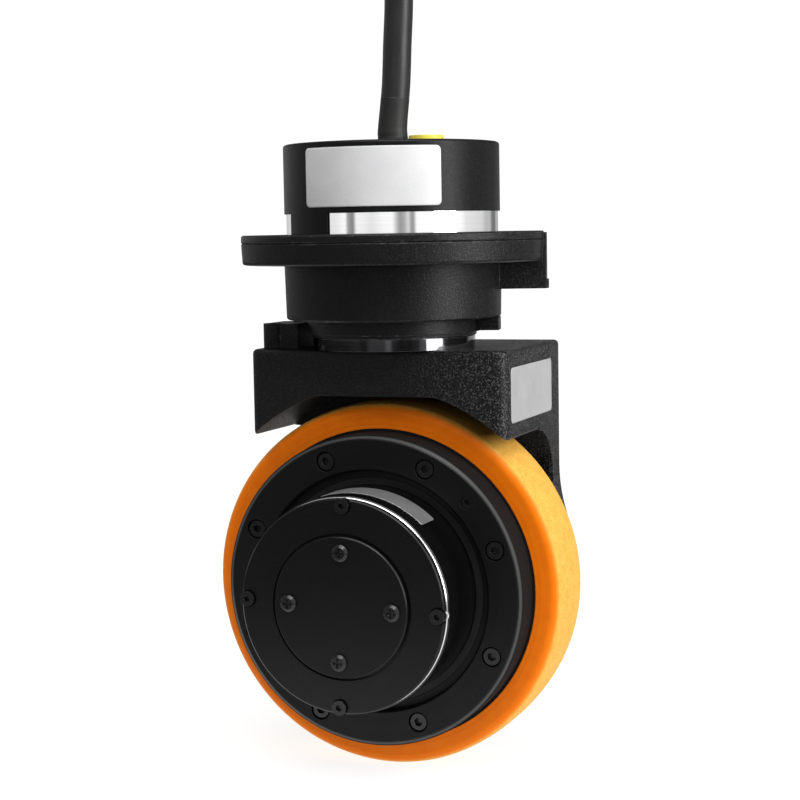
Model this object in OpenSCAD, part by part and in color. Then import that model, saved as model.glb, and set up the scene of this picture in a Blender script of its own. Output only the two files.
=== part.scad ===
/* [Wheel] */
// Radius of the tyre's tread
wheel_r = 90; // [88:0.5:92]
// Width of the tyre
tyre_w = 41; // [38:0.5:42]
// Thickness of the tyre on the hub
tyre_t = 12.6; // [10:0.2:13]
// Radius of the tyre's rounded shoulder
tyre_shoulder_r = 4.6; // [3:0.2:6]
// Depth of the hub cover in front of the tyre
hub_cover_h = 16.5; // [14:0.5:18]
// Distance of the hub cover's screws from the hub's edge
hub_screw_edge = 10.9; // [10:0.1:12]
// Number of hub cover screws
hub_screw_n = 8; // [6:1:8]
/* [Drive motor] */
// Width of the hub's rim round the drive motor
hub_rim_w = 26; // [25.8:0.1:27]
// Distance of the motor housing's front edge from the wheel's middle plane
motor_front = 71.3; // [69:0.5:76]
// Thickness of the motor's front cover
motor_cover_t = 3.9; // [3:0.1:5]
// Width of the motor's front cover round the end plate
end_plate_edge = 18.1; // [17:0.1:19]
/* [Fork] */
// Width of the fork across the wheel
fork_w = 132.8; // [131:0.2:136]
// Distance of the fork's front face from the steering axis
fork_front = 28; // [26:0.5:30]
// Distance of the fork's back face from the steering axis
fork_back = 63.5; // [61:0.5:66]
// Height of the fork's block above its flat underside
fork_block_h = 43; // [40:0.5:45]
// Thickness of the fork's leg
leg_t = 13; // [12:0.5:14]
// Radius of the leg's round lower end
leg_end_r = 75; // [73:0.5:78]
// Gap between the tread and the arch round it
arch_gap = 8.4; // [7:0.2:10]
// Gap between the tread and the flat roof of the arch
arch_roof_gap = 3.6; // [3:0.1:4]
// Thickness of the fork's block over the roof of the arch
fork_web_t = 22.4; // [21:0.1:24]
/* [Gearbox] */
// Distance of the mounting bolts from the flange's edge
bolt_edge = 8.5; // [7.5:0.1:11]
// Thickness of the mounting flange with its cover
flange_t = 14.5; // [13:0.5:17]
// Thickness of the flange cover
flange_cover_t = 4; // [3.5:0.1:5]
// Thickness of the gearbox housing's wall
housing_wall_t = 7.5; // [6.5:0.1:9]
// Height of the gearbox housing below the flange
housing_h = 27; // [26:0.5:30]
// Height of the neck below the housing
neck_h = 8.5; // [8:0.1:10]
// Width of the neck round the output shaft
neck_w = 6.3; // [5.8:0.1:6.5]
// Distance of the mounting bolts from the housing's wall
bolt_reach = 12.5; // [12:0.1:14]
// Number of mounting bolts
bolt_n = 8; // [6:1:8]
// Radius of the holes for the mounting bolts
bolt_hole_r = 3.3; // [2.75:0.05:3.4]
/* [Steering motor] */
// Radius of the steering motor's cap
cap_r = 53; // [52.5:0.1:54]
// Height of the cap
cap_h = 33.5; // [32:0.5:38]
// Height of the bare motor ring below the cap
ring_h = 10; // [9:0.5:11]
// Depth of the bare motor ring behind the cap's side
ring_inset = 1; // [0.8:0.1:1.5]
// Diameter of the cable
cable_d = 14; // [12:0.5:14.5]
/* [Gears] */
// Pitch radius of both ring gears
ring_pitch_r = 36; // [35:0.1:36]
// Length of the drive planets' teeth
gear_w = 12; // [10:0.5:12]
/* [Hidden] */
$fn = 96;
// Overrun of a cut past the face that it opens
cut = 1;
// Running clearance of a shaft in its bore, and gap between faces that pass each other
run = 0.05;
face_gap = 0.4;
// Soft roundings of the castings
cast_edge_r = 2.2;
cast_front_r = 6;
cast_back_r = 2.2;

// Teeth of both reducers: sun, planets and ring
sun_teeth = 12;
planet_teeth = 18;
ring_teeth = sun_teeth + 2 * planet_teeth;
planet_n = 3;
gear_module = 2 * ring_pitch_r / ring_teeth;
pressure_angle = 25;
addendum_share = 0.9;
dedendum_share = 1.15;
flank_relief_share = 0.08;
flank_steps = 4;
planet_ring_r = gear_module * (sun_teeth + planet_teeth) / 2;
ring_gear_wall = 10;
gear_case_r = ring_pitch_r + ring_gear_wall;
planet_pin_r = 4;
planet_boss_r = 6;
planet_gap = 0.5;
steer_gear_w = 19;
rotor_shaft_r = 6;
shaft_bearing_r = 14;
shaft_bearing_w = 8;

// Heights of the head, measured from the flange's top face
cap_wall = 4;
cap_roof = 4.5;
cap_edge_r = 1.5;
cap_base_z = ring_h;
cap_top_z = ring_h + cap_h;
cap_roof_z = cap_top_z - cap_roof;
spigot_h = 10;
spigot_r = cap_r - cap_wall;
ring_r = cap_r - ring_inset;
ring_seat_depth = 0.5;
ring_seat_clear = 0.4;
ring_wall_t = 8;
ring_wall_r = ring_r - ring_wall_t;
ring_floor_t = 4;
shield_t = 4;
shield_z = ring_h + spigot_h;
shield_boss_r = 18;
board_t = 1.6;
board_drop = 4.4;
board_post_ring_r = 26;
board_post_r = 3;
cap_post_r = 4.6;
cap_post_edge = 9.5;
cap_screw_ring_r = cap_r - cap_post_edge;
board_clear = 4.9;
board_r = cap_screw_ring_r - cap_post_r - board_clear;
tab_from_angle = -136;
tab_to_angle = -104;
tab_clear = 0.3;
tab_clear_angle = 0.4;
gland_h = 2.5;
gland_r = 10.5;
gland_stem_r = 8;
gland_offset = [0.6, 1];
plug_r = 8.5;
plug_h = 3.5;
plug_offset = 18.4;
plug_stem_r = 5;
plug_stem_h = 3;
steer_stator_t = 12;
steer_stator_r = 28;
air_gap = 0.8;
coil_gap = 2;
rotor_web_t = 5;
rotor_rim_t = 4;

// Radii of the gearbox, from the gear case outward
housing_r = gear_case_r + housing_wall_t;
bolt_ring_r = housing_r + bolt_reach;
flange_r = bolt_ring_r + bolt_edge;
bearing_depth = 10;
output_shaft_r = gear_case_r - bearing_depth;
output_lip = 4;
output_r = output_shaft_r + output_lip;
neck_r = output_shaft_r + neck_w;
// Heights of the gearbox and the output flange
neck_base_z = -flange_t - housing_h - neck_h;
housing_base_z = -flange_t - housing_h;
output_t = 5.6;
fork_top_z = neck_base_z - face_gap - output_t;
steer_bearing_w = 12;
housing_floor_t = 2.5;
steer_bearing_z = housing_base_z + housing_floor_t;
carrier_top_z = steer_bearing_z + steer_bearing_w;
steer_ring_gear_z = carrier_top_z + face_gap;
wire_bore_r = 9;
rotor_bore_r = 3.5;
housing_taper = 0.6;
flange_taper = 0.5;
flange_round = 1.4;
flange_edge = 0.8;
parting_groove = 0.5;
sensor_box_angle = 15;
sensor_reach = 1.1;
sensor_box_r = flange_r + sensor_reach;
sensor_box_w = 16;
sensor_box_h = 13.5;
sensor_nub = 0.9;
sensor_nub_h = 4.5;
sensor_r = 4;
sensor_set_back = 0.5;
sensor_depth = 9;
sensor_inset = 10;
stop_angle = 12;
stop_w = 12;
stop_h = 6.5;
stop_clear = 0.5;

// Fastener sizes: shank radius, head radius, head height, socket across flats
m3 = [1.5, 2.75, 3, 2.5];
m4 = [2, 3.5, 4, 3];
m5 = [2.5, 4.1, 5, 4];
m6 = [3, 5, 6, 5];
m8 = [4, 6.5, 8, 6];
head_clear = 0.3;
counterbore_clear = 0.8;
screw_bite = 9;
fork_screw_bite = 12;
stop_bite = 6;
stop_wall = 0.9;
stop_screw_r = gear_case_r + m3[0] + stop_wall;
ring_bite_share = 0.75;
// Bearings: gap between the rings and radius of the balls as shares of the bearing's radial depth
track_gap_share = 0.36;
ball_share = 0.24;
steer_ball_n = 20;
wheel_ball_n = 18;

// Places along the wheel's axle: positive is outboard, towards the motor's front
axle_z = fork_top_z - fork_web_t - arch_roof_gap - wheel_r;
axle_drop = -axle_z;
hub_r = wheel_r - tyre_t;
hub_screw_ring_r = hub_r - hub_screw_edge;
motor_r = hub_r - hub_rim_w;
end_plate_r = motor_r - end_plate_edge;
hub_face = tyre_w / 2;
cover_face = hub_face + hub_cover_h;
bearing_shoulder = 7;
wheel_bearing_r = gear_case_r - bearing_shoulder;
wheel_bearing_depth = 9;
neck_shaft_r = wheel_bearing_r - wheel_bearing_depth;
wheel_bearing_w = 10;
bearing_rib = 3;
front_bearing_inset = 15.5;
front_bearing_out = hub_face - front_bearing_inset;
rear_bearing_out = front_bearing_out - wheel_bearing_w - bearing_rib;
bearing_rib_h = 2.4;
bearing_rib_r = wheel_bearing_r - bearing_rib_h;
shoulder_h = 3;
spindle_shoulder_r = neck_shaft_r + shoulder_h;
rear_bearing_in = rear_bearing_out - wheel_bearing_w;
carrier_t = 3;
carrier_lip = 4;
carrier_r = neck_shaft_r + carrier_lip;
carrier_face = front_bearing_out + carrier_t;
gear_face_gap = 0.8;
wheel_gear_in = carrier_face + gear_face_gap;
planet_in = carrier_face + planet_gap;
hub_motor_gap = 2;
motor_back = hub_face + hub_motor_gap;
post_r = 5.5;
spindle_flange_gap = 1.5;
spindle_flange_t = 6;
spindle_flange_r = 41;
spindle_flange_in = -hub_face - spindle_flange_gap;
spindle_seat = spindle_flange_in - spindle_flange_t;
spindle_pilot_r = 24;
spindle_bore_r = 12;
spindle_inset = 1;
spindle_end_t = 1.5;
lead_bore_r = 3.5;
lead_z = -67;
leg_boss_r = 46;
spindle_screw_ring_r = 33;
spindle_screw_n = 6;
spindle_cb_depth = 7;
leg_flare_r = 87;
flare_steps = 6;
leg_chamfer = 2;
leg_in = fork_back - leg_t;
lead_y = fork_back - leg_t / 2;
// Centre of the hollow curve from the leg's straight side to its round end, and the angle that it spans
flare_x = fork_w / 2 + leg_flare_r;
flare_h = sqrt(max(0, pow(leg_end_r + leg_flare_r, 2) - pow(flare_x, 2)));
flare_angle = atan2(flare_h, flare_x);
fork_screw_edge = 8;
fork_screw_ring_r = output_shaft_r - fork_screw_edge;
fork_screw_angles = [-25, 35, 145, 205];
fork_screw_web = 10;
wire_pocket_depth = 15.5;
fork_block_base_z = fork_top_z - fork_block_h;
arch_r = wheel_r + arch_gap;
arch_back = 26;
underside_fillet_w = fork_back - leg_t - arch_back;
underside_fillet_h = 29;
dowel_hole_r = 1.3;
dowel_hole_depth = 6;
dowel_hole_x = 33;
dowel_edge = 6;
lug_edge = 2.9;
lug_left = fork_w / 2 - lug_edge;
lug_w = 20.1;
lug_right = lug_left - lug_w;
lug_front = 21;
lug_back = 6;
lug_h = 12.3;
lug_boss_r = 5.8;
lug_neck = 1.2;

sensor_box_root = 4.5;
motor_wall = 6.6;
motor_back_t = shaft_bearing_w + cut;
motor_inner_r = motor_r - motor_wall;
motor_edge_r = 1.2;
drive_stator_t = 24;
drive_stator_w = 15.8;
drive_stator_r = motor_inner_r - drive_stator_w;
stator_seat = 5.5;
motor_cover_inset = 0.8;
motor_boss_r = 18;
motor_cover_spigot = 3;
rim_screw_edge = 3.9;
rim_screw_ring_r = motor_r - rim_screw_edge;
rim_screw_n = 4;
rim_screw_turn = 88;
rim_seat_depth = 2.4;
rim_head_clear = 0.5;
end_recess = 1.5;
end_recess_gap = 1.3;
end_plate_t = 3.3;
end_screw_edge = 7.5;
end_screw_ring_r = end_plate_r - end_screw_edge;
end_screw_n = 4;
end_screw_turn = 88;
pan_head_r = 4;
pan_head_h = 2;
pan_crown_share = 0.7;
cross_w = 1.1;
cross_l = 4.6;

cover_bore_clear = 1.2;
cover_bore_r = motor_r + cover_bore_clear;
cover_recess_w = 7.2;
cover_recess_r = motor_r + cover_recess_w;
cover_recess_depth = 5;
cover_step = 1.4;
cover_r = hub_r - cover_step;
cover_chamfer = 2.4;
cover_chamfer_h = 1.8;
seal_w = 3.6;
seal_r = motor_r + seal_w;
seal_t = 3.4;
seal_lip = 0.08;
hub_screw_turn = 110;
hub_cb_depth = 5.6;
plug_angle = 42.6;
oil_plug_r = 3.3;
oil_plug_inset = 1.6;
oil_plug_h = 6;
hub_rim_t = 8.5;
hub_boss_wall = 3;
hub_boss_r = gear_case_r + hub_boss_wall;
hub_pocket_web = 6;
hub_rib_t = 5;
hub_rib_n = 8;
tread_crown = 0.6;

// Cable route in its own plane: away from the viewer, sideways, and up from the flange
cable_plane_angle = 21;
cable_sides = 12;
cable_route = [[0, 1, 46], [0, 1, 52], [0, 3, 72], [0, 4, 92], [0, 5, 110], [0, 5, 126], [6, 5, 158],
  [25, 5, 186], [52, 5, 204], [85, 5, 211], [118, 5, 204], [145, 5, 186], [164, 5, 158], [170, 5, 126],
  [170, 4, 96], [170, 2, 66], [170, 0, 40], [170, -6, 10], [170, -16, -25], [170, -29, -60],
  [170, -42, -95], [170, -52, -128], [170, -58, -160], [170, -60, -195], [170, -55, -218],
  [170, -42, -237], [170, -23, -250], [170, 0, -255]];
coil_centre = 250;
coil_outer_r = 80;
coil_inner_r = 66;
connector_r = 10;
connector_l = 52;
connector_wall = 2;
connector_collar_r = 11.5;
connector_collar_l = 14;
connector_reach = 72;

// Helpers
function polar(r, a) = [r * cos(a), r * sin(a)];
function involute(a) = tan(a) * 180 / PI - a;
function base_r(z) = gear_module * z / 2 * cos(pressure_angle);
function half_tooth(z, r, relief) =
  90 / z - relief / (gear_module * z / 2) * 180 / PI + involute(pressure_angle)
  - involute(acos(min(1, base_r(z) / r)));
// Points of a gear outline: an involute flank up and down on each tooth
function gear_points(z, tip, root, relief) = [
  for (i = [0:z - 1], side = [-1, 1], k = [0:flank_steps])
    let (step = side < 0 ? k : flank_steps - k, r = root + (tip - root) * step / flank_steps)
      polar(r, i * 360 / z + side * half_tooth(z, r, relief))
];
module external_gear(z, w) {
  pitch = gear_module * z / 2;
  linear_extrude(w)
    polygon(gear_points(z, pitch + addendum_share * gear_module, pitch - dedendum_share * gear_module,
                        flank_relief_share * gear_module));
}
module internal_gear(w) {
  pitch = gear_module * ring_teeth / 2;
  difference() {
    cylinder(r = gear_case_r, h = w);
    translate([0, 0, -cut])
      rotate(180 / ring_teeth)
        linear_extrude(w + 2 * cut)
          polygon(gear_points(ring_teeth, pitch + dedendum_share * gear_module,
                              pitch - addendum_share * gear_module, -flank_relief_share * gear_module));
  }
}
module planet(w) {
  difference() {
    rotate(180 / planet_teeth) external_gear(planet_teeth, w);
    translate([0, 0, -cut]) cylinder(r = planet_pin_r + run, h = w + 2 * cut);
  }
}
module ring_span(outer, inner, from, to) {
  translate([0, 0, from])
    difference() {
      cylinder(r = outer, h = to - from);
      translate([0, 0, -cut]) cylinder(r = inner, h = to - from + 2 * cut);
    }
}
module disc_span(r, from, to) {
  translate([0, 0, from]) cylinder(r = r, h = to - from);
}
module polar_copies(n, r, turn = 0) {
  for (i = [0:n - 1]) rotate(turn + i * 360 / n) translate([r, 0, 0]) children();
}
// Local +Z points outboard along the wheel's axle
module on_axle() {
  translate([0, 0, axle_z]) rotate([90, 0, 0]) children();
}
// Socket head screw, its head's top at 0 and its shank down
module socket_screw(m, shank) {
  difference() {
    translate([0, 0, -m[2]]) cylinder(r = m[1], h = m[2], $fn = 48);
    translate([0, 0, -m[2] / 2]) cylinder(d = m[3] / cos(30), h = m[2], $fn = 6);
  }
  translate([0, 0, -m[2] - shank]) cylinder(r = m[0], h = shank, $fn = 48);
}
// Pan head screw with a cross recess, its seat at 0 and its head up
module cross_screw(shank) {
  difference() {
    union() {
      cylinder(r = pan_head_r, h = pan_head_h / 2, $fn = 48);
      translate([0, 0, pan_head_h / 2])
        cylinder(r1 = pan_head_r, r2 = pan_head_r * pan_crown_share, h = pan_head_h / 2, $fn = 48);
    }
    for (a = [0, 90])
      rotate(a) translate([-cross_l / 2, -cross_w / 2, pan_head_h / 2]) cube([cross_l, cross_w, pan_head_h]);
  }
  translate([0, 0, -shank]) cylinder(r = m4[0], h = shank, $fn = 48);
}
// Ball bearing rings with a shared ball track
module bearing_ring(outer, inner, w, track_r, ball) {
  difference() {
    cylinder(r = outer, h = w);
    translate([0, 0, -cut]) cylinder(r = inner, h = w + 2 * cut);
    translate([0, 0, w / 2]) rotate_extrude() translate([track_r, 0]) circle(r = ball + run, $fn = 32);
  }
}
module bearing_balls(n, track_r, ball, w) {
  polar_copies(n, track_r) translate([0, 0, w / 2]) sphere(r = ball, $fn = 32);
}
function track_r(ri, ro) = (ri + ro) / 2;
function track_wall(ri, ro) = (ro - ri) * (1 - track_gap_share) / 2;
function ball_r(ri, ro) = (ro - ri) * ball_share;

// Cap of the steering motor, with its tab, posts and screw seats
module cap() {
  color("#1c1c1e") {
    difference() {
      union() {
        translate([0, 0, cap_base_z]) rotate_extrude() polygon([
          [0, cap_roof_z - cap_base_z], [0, cap_h], [cap_r - cap_edge_r, cap_h],
          for (a = [75:-15:15]) [cap_r - cap_edge_r, cap_h - cap_edge_r] + cap_edge_r * [cos(a), sin(a)],
          [cap_r, cap_h - cap_edge_r], [cap_r, 0], [spigot_r, 0], [spigot_r, cap_roof_z - cap_base_z]]);
        polar_copies(4, cap_screw_ring_r, 45) disc_span(cap_post_r, shield_z + shield_t, cap_roof_z);
        polar_copies(4, board_post_ring_r) disc_span(board_post_r, cap_roof_z - board_drop, cap_roof_z);
      }
      polar_copies(4, cap_screw_ring_r, 45) {
        disc_span(m4[0], shield_z, cap_top_z);
        disc_span(m4[1] + head_clear, cap_top_z - m4[2] - head_clear, cap_top_z + cut);
      }
      translate([gland_offset[0], gland_offset[1], cap_roof_z - cut])
        cylinder(r = gland_stem_r, h = cap_roof + 2 * cut);
      translate([plug_offset, 0, cap_top_z - plug_stem_h]) cylinder(r = plug_stem_r, h = plug_stem_h + cut);
    }
    tab_sector(cap_r, spigot_r, 0, cap_base_z);
  }
}
module tab_sector(outer, inner, from, to, wider = 0) {
  translate([0, 0, from])
    rotate(tab_from_angle - wider)
      rotate_extrude(angle = tab_to_angle - tab_from_angle + 2 * wider)
        translate([inner, 0]) square([outer - inner, to - from]);
}
module cap_screws() {
  color("#2a2a2c") polar_copies(4, cap_screw_ring_r, 45)
    translate([0, 0, cap_top_z - head_clear])
      socket_screw(m4, cap_top_z - head_clear - m4[2] - shield_z - shield_t / 4);
}
module driver_board() {
  color("#1f5c36") disc_span(board_r, cap_roof_z - board_drop - board_t, cap_roof_z - board_drop);
}
module cable_gland() {
  color("#202020") translate([gland_offset[0], gland_offset[1], cap_roof_z]) {
    cylinder(r = gland_stem_r, h = cap_roof);
    translate([0, 0, cap_roof]) cylinder(r = gland_r, h = gland_h);
  }
}
module cap_plug() {
  color("#e6c21e") translate([plug_offset, 0, cap_top_z]) {
    difference() {
      cylinder(r = plug_r, h = plug_h);
      translate([gland_offset[0] - plug_offset, gland_offset[1], -cut])
        cylinder(r = gland_r + head_clear, h = plug_h + 2 * cut);
    }
    translate([0, 0, -plug_stem_h]) cylinder(r = plug_stem_r, h = plug_stem_h);
  }
}
// Machined ring that holds the steering motor and pilots in the flange cover
module motor_ring() {
  color("#c9cacc") difference() {
    union() {
      disc_span(ring_r, -ring_seat_depth, ring_h);
      disc_span(spigot_r, ring_h, shield_z);
      disc_span(shield_boss_r, -flange_cover_t, 0);
    }
    disc_span(ring_wall_r, ring_floor_t, shield_z + cut);
    disc_span(shaft_bearing_r, -flange_cover_t - cut, ring_floor_t + cut);
    tab_sector(ring_r + cut, spigot_r - tab_clear, -ring_seat_depth - cut, ring_h + cut, tab_clear_angle);
    ring_screw_places() {
      disc_span(m3[1] + head_clear, ring_floor_t - m3[2], ring_floor_t + cut);
      disc_span(m3[0], -cut, ring_floor_t);
    }
  }
}
module ring_screw_places() {
  polar_copies(6, (ring_wall_r + shield_boss_r) / 2) children();
}
module ring_screws() {
  color("#3a3a3c") ring_screw_places()
    translate([0, 0, ring_floor_t])
      socket_screw(m3, ring_floor_t - m3[2] + flange_cover_t * ring_bite_share);
}
module steer_stator() {
  color("#8a4a24") ring_span(ring_wall_r, steer_stator_r, ring_floor_t + coil_gap,
                             ring_floor_t + coil_gap + steer_stator_t);
}
module end_shield() {
  color("#b4b5b8") difference() {
    union() {
      disc_span(spigot_r, shield_z, shield_z + shield_t);
      disc_span(shield_boss_r, shield_z, shield_z + shaft_bearing_w);
    }
    disc_span(shaft_bearing_r, shield_z - cut, shield_z + shaft_bearing_w + cut);
    polar_copies(4, cap_screw_ring_r, 45)
      disc_span(m4[0], shield_z + shield_t / 4, shield_z + shield_t + cut);
  }
}
module shaft_bearing(from) {
  ring_span(shaft_bearing_r, rotor_shaft_r + run, from, from + shaft_bearing_w);
}
module steer_shaft_bearings() {
  color("#9a9b9e") {
    shaft_bearing(-flange_cover_t);
    shaft_bearing(shield_z);
  }
}
module bolt_holes(from, to) {
  polar_copies(bolt_n, bolt_ring_r) disc_span(bolt_hole_r, from, to);
}
module cover_screw_places() {
  polar_copies(4, bolt_ring_r - m3[1], 180 / bolt_n) children();
}
// Thin plate on the flange that closes the gearbox
module flange_cover() {
  color("#242426") difference() {
    union() {
      rotate_extrude() polygon([[0, 0], [flange_r - flange_edge, 0], [flange_r, -flange_edge],
        [flange_r, parting_groove - flange_cover_t], [flange_r - parting_groove, -flange_cover_t],
        [0, -flange_cover_t]]);
      sensor_block(-flange_cover_t, -flange_edge);
    }
    disc_span(shield_boss_r, -flange_cover_t - cut, cut);
    disc_span(cap_r + ring_seat_clear, -ring_seat_depth, cut);
    bolt_holes(-flange_cover_t - cut, cut);
    cover_screw_places() {
      disc_span(m3[0], -flange_cover_t - cut, cut);
      disc_span(m3[1] + head_clear, -m3[2], cut);
    }
    ring_screw_places() disc_span(m3[0], -flange_cover_t * ring_bite_share, cut);
  }
}
// Length of the sensor box between two heights, with its flat end outside the flange's edge
module sensor_block(from, to) {
  rotate(sensor_box_angle) translate([housing_r - sensor_box_root, -sensor_box_w / 2, from])
    cube([sensor_box_r - housing_r + sensor_box_root, sensor_box_w, to - from]);
}
module cover_screws() {
  color("#2a2a2c") cover_screw_places() socket_screw(m3, screw_bite);
}
// Housing with its flange, sensor box, bearing seat and neck
module gearbox_housing() {
  color("#202022") difference() {
    union() {
      rotate_extrude() polygon([[0, -flange_cover_t], [flange_r - parting_groove, -flange_cover_t],
        [flange_r, -flange_cover_t - parting_groove],
        for (a = [0:-30:-90]) [flange_r - flange_taper - flange_round, flange_round - flange_t]
          + flange_round * [cos(a), sin(a)],
        [housing_r, -flange_t],
        [housing_r - housing_taper, housing_base_z + flange_edge],
        [housing_r - housing_taper - flange_edge, housing_base_z], [neck_r, housing_base_z],
        [neck_r, neck_base_z + 2 * flange_edge], [neck_r - 2 * flange_edge, neck_base_z + 2 * flange_edge],
        [neck_r - 2 * flange_edge, neck_base_z], [0, neck_base_z]]);
      sensor_block(-flange_t - sensor_box_h, -flange_cover_t);
      rotate(sensor_box_angle) translate([sensor_box_r, -sensor_box_w / 4, -flange_t - sensor_box_h])
        cube([sensor_nub, sensor_box_w / 2, sensor_nub_h]);
    }
    disc_span(gear_case_r, steer_bearing_z, -flange_cover_t + cut);
    disc_span(output_shaft_r + face_gap, neck_base_z - cut, steer_bearing_z + cut);
    bolt_holes(-flange_t - cut, 0);
    cover_screw_places() disc_span(m3[0], -m3[2] - screw_bite, 0);
    sensor_bore(sensor_r);
    rotate(stop_angle) translate([stop_screw_r, 0, 0])
      disc_span(m3[0], housing_base_z - cut, housing_base_z + stop_bite);
  }
}
module sensor_bore(r) {
  rotate(sensor_box_angle) translate([sensor_box_r - sensor_inset, 0, 0])
    disc_span(r, -flange_t - sensor_box_h - cut, -flange_t - sensor_box_h + sensor_depth);
}
module homing_sensor() {
  color("#77787a") rotate(sensor_box_angle) translate([sensor_box_r - sensor_inset, 0, 0])
    disc_span(sensor_r, -flange_t - sensor_box_h + sensor_set_back, -flange_t - sensor_box_h + sensor_depth);
}
module steer_ring_gear() {
  color("#8d8f93") translate([0, 0, steer_ring_gear_z]) internal_gear(-flange_cover_t - steer_ring_gear_z);
}
module steer_bearing_outer() {
  color("#a3a5a9") translate([0, 0, steer_bearing_z])
    bearing_ring(gear_case_r, gear_case_r - track_wall(output_shaft_r, gear_case_r), steer_bearing_w,
                 track_r(output_shaft_r, gear_case_r), ball_r(output_shaft_r, gear_case_r));
}
// Block under the housing that the fork's lug meets at the end of travel
module end_stop() {
  stop_in = neck_r + stop_clear;
  stop_out = housing_r - housing_taper - stop_clear;
  color("#1e1e20") rotate(stop_angle) {
    difference() {
      translate([stop_in, -stop_w / 2, housing_base_z - stop_h]) cube([stop_out - stop_in, stop_w, stop_h]);
      translate([stop_screw_r, 0, housing_base_z - stop_h - cut]) cylinder(r = m3[0], h = stop_h + 2 * cut);
      translate([stop_screw_r, 0, housing_base_z - stop_h - cut])
        cylinder(r = m3[1] + head_clear, h = m3[2] + cut);
    }
    translate([stop_screw_r, 0, housing_base_z - stop_h]) mirror([0, 0, 1])
      socket_screw(m3, stop_h - m3[2] + stop_bite - cut);
  }
}

// Cable, coil and connector
function unit(v) = v / norm(v);
function tangent(p, i) = unit(p[min(i + 1, len(p) - 1)] - p[max(i - 1, 0)]);
function side_vectors(p, i, u) = i == len(p) ? [] :
  let (t = tangent(p, i), v = unit(u - (u * t) * t)) concat([v], side_vectors(p, i + 1, v));
module tube(p, r, sides) {
  u = side_vectors(p, 0, [0, 1, 0]);
  last = len(p) - 1;
  polyhedron(
    points = [for (i = [0:last], k = [0:sides - 1])
      let (a = k * 360 / sides) p[i] + r * (cos(a) * u[i] + sin(a) * cross(tangent(p, i), u[i]))],
    faces = concat(
      [[for (k = [0:sides - 1]) k]],
      [for (i = [0:last - 1], k = [0:sides - 1]) let (n = (k + 1) % sides)
        [(i + 1) * sides + k, (i + 1) * sides + n, i * sides + n, i * sides + k]],
      [[for (k = [sides - 1:-1:0]) last * sides + k]]));
}
// Local +X runs away from the viewer and local -Y to the viewer's right
module in_cable_plane() {
  rotate(90 + cable_plane_angle) children();
}
module cable() {
  color("#151515") in_cable_plane()
    tube([for (p = cable_route) [p[0], -p[1], p[2]]], cable_d / 2, cable_sides);
}
module cable_coil() {
  floor_z = cable_route[len(cable_route) - 1][2] - cable_d / 2;
  color("#151515") in_cable_plane() translate([coil_centre, 0, floor_z + cable_d / 2])
    rotate_extrude() {
      for (r = [coil_outer_r, coil_inner_r]) translate([r, 0]) circle(d = cable_d, $fn = 32);
      translate([coil_inner_r, -cable_d / 2]) square([coil_outer_r - coil_inner_r, cable_d]);
    }
}
module cable_connector() {
  rest_z = cable_route[len(cable_route) - 1][2] + cable_d / 2 + connector_collar_r;
  color("#8a8c90") in_cable_plane()
    translate([coil_centre + connector_reach, -connector_l / 2, rest_z]) rotate([-90, 0, 0]) {
      difference() {
        cylinder(r = connector_r, h = connector_l);
        translate([0, 0, connector_l - connector_collar_l / 2])
          cylinder(r = connector_r - connector_wall, h = connector_l);
      }
      translate([0, 0, connector_l / 2]) ring_span(connector_collar_r, connector_r, 0, connector_collar_l);
    }
}

// Output flange with the planet pins of the steering reducer
module output_flange() {
  color("#6e7074") difference() {
    union() {
      disc_span(output_r, fork_top_z, neck_base_z - face_gap);
      disc_span(output_shaft_r, fork_top_z, carrier_top_z);
      polar_copies(planet_n, planet_ring_r)
        disc_span(planet_pin_r, carrier_top_z, carrier_top_z + planet_gap + steer_gear_w + planet_gap);
    }
    disc_span(wire_bore_r, fork_top_z - cut, carrier_top_z + cut);
    fork_screw_places() disc_span(m8[0], fork_top_z - cut, fork_top_z + fork_screw_bite + cut);
  }
}
module steer_bearing_inner() {
  color("#a3a5a9") translate([0, 0, steer_bearing_z])
    bearing_ring(output_shaft_r + track_wall(output_shaft_r, gear_case_r), output_shaft_r, steer_bearing_w,
                 track_r(output_shaft_r, gear_case_r), ball_r(output_shaft_r, gear_case_r));
}
module steer_bearing_balls() {
  color("#d0d2d6") translate([0, 0, steer_bearing_z])
    bearing_balls(steer_ball_n, track_r(output_shaft_r, gear_case_r), ball_r(output_shaft_r, gear_case_r),
                  steer_bearing_w);
}
module steer_planet(i) {
  color("#9b9da1") rotate(i * 360 / planet_n) translate([planet_ring_r, 0, carrier_top_z + planet_gap])
    planet(steer_gear_w);
}
module steer_planet_1() { steer_planet(0); }
module steer_planet_2() { steer_planet(1); }
module steer_planet_3() { steer_planet(2); }
module steer_rotor() {
  sun_z = carrier_top_z + planet_gap;
  rotor_z = ring_floor_t + coil_gap;
  rotor_r = steer_stator_r - air_gap;
  color("#7c5a3c") difference() {
    union() {
      translate([0, 0, sun_z]) external_gear(sun_teeth, steer_gear_w);
      disc_span(rotor_shaft_r, sun_z, shield_z + shaft_bearing_w);
      ring_span(rotor_r, rotor_r - rotor_rim_t, rotor_z, rotor_z + steer_stator_t);
      disc_span(rotor_r - rotor_rim_t / 2, rotor_z + coil_gap, rotor_z + coil_gap + rotor_web_t);
    }
    disc_span(rotor_bore_r, sun_z - cut, shield_z + shaft_bearing_w + cut);
  }
}

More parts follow.
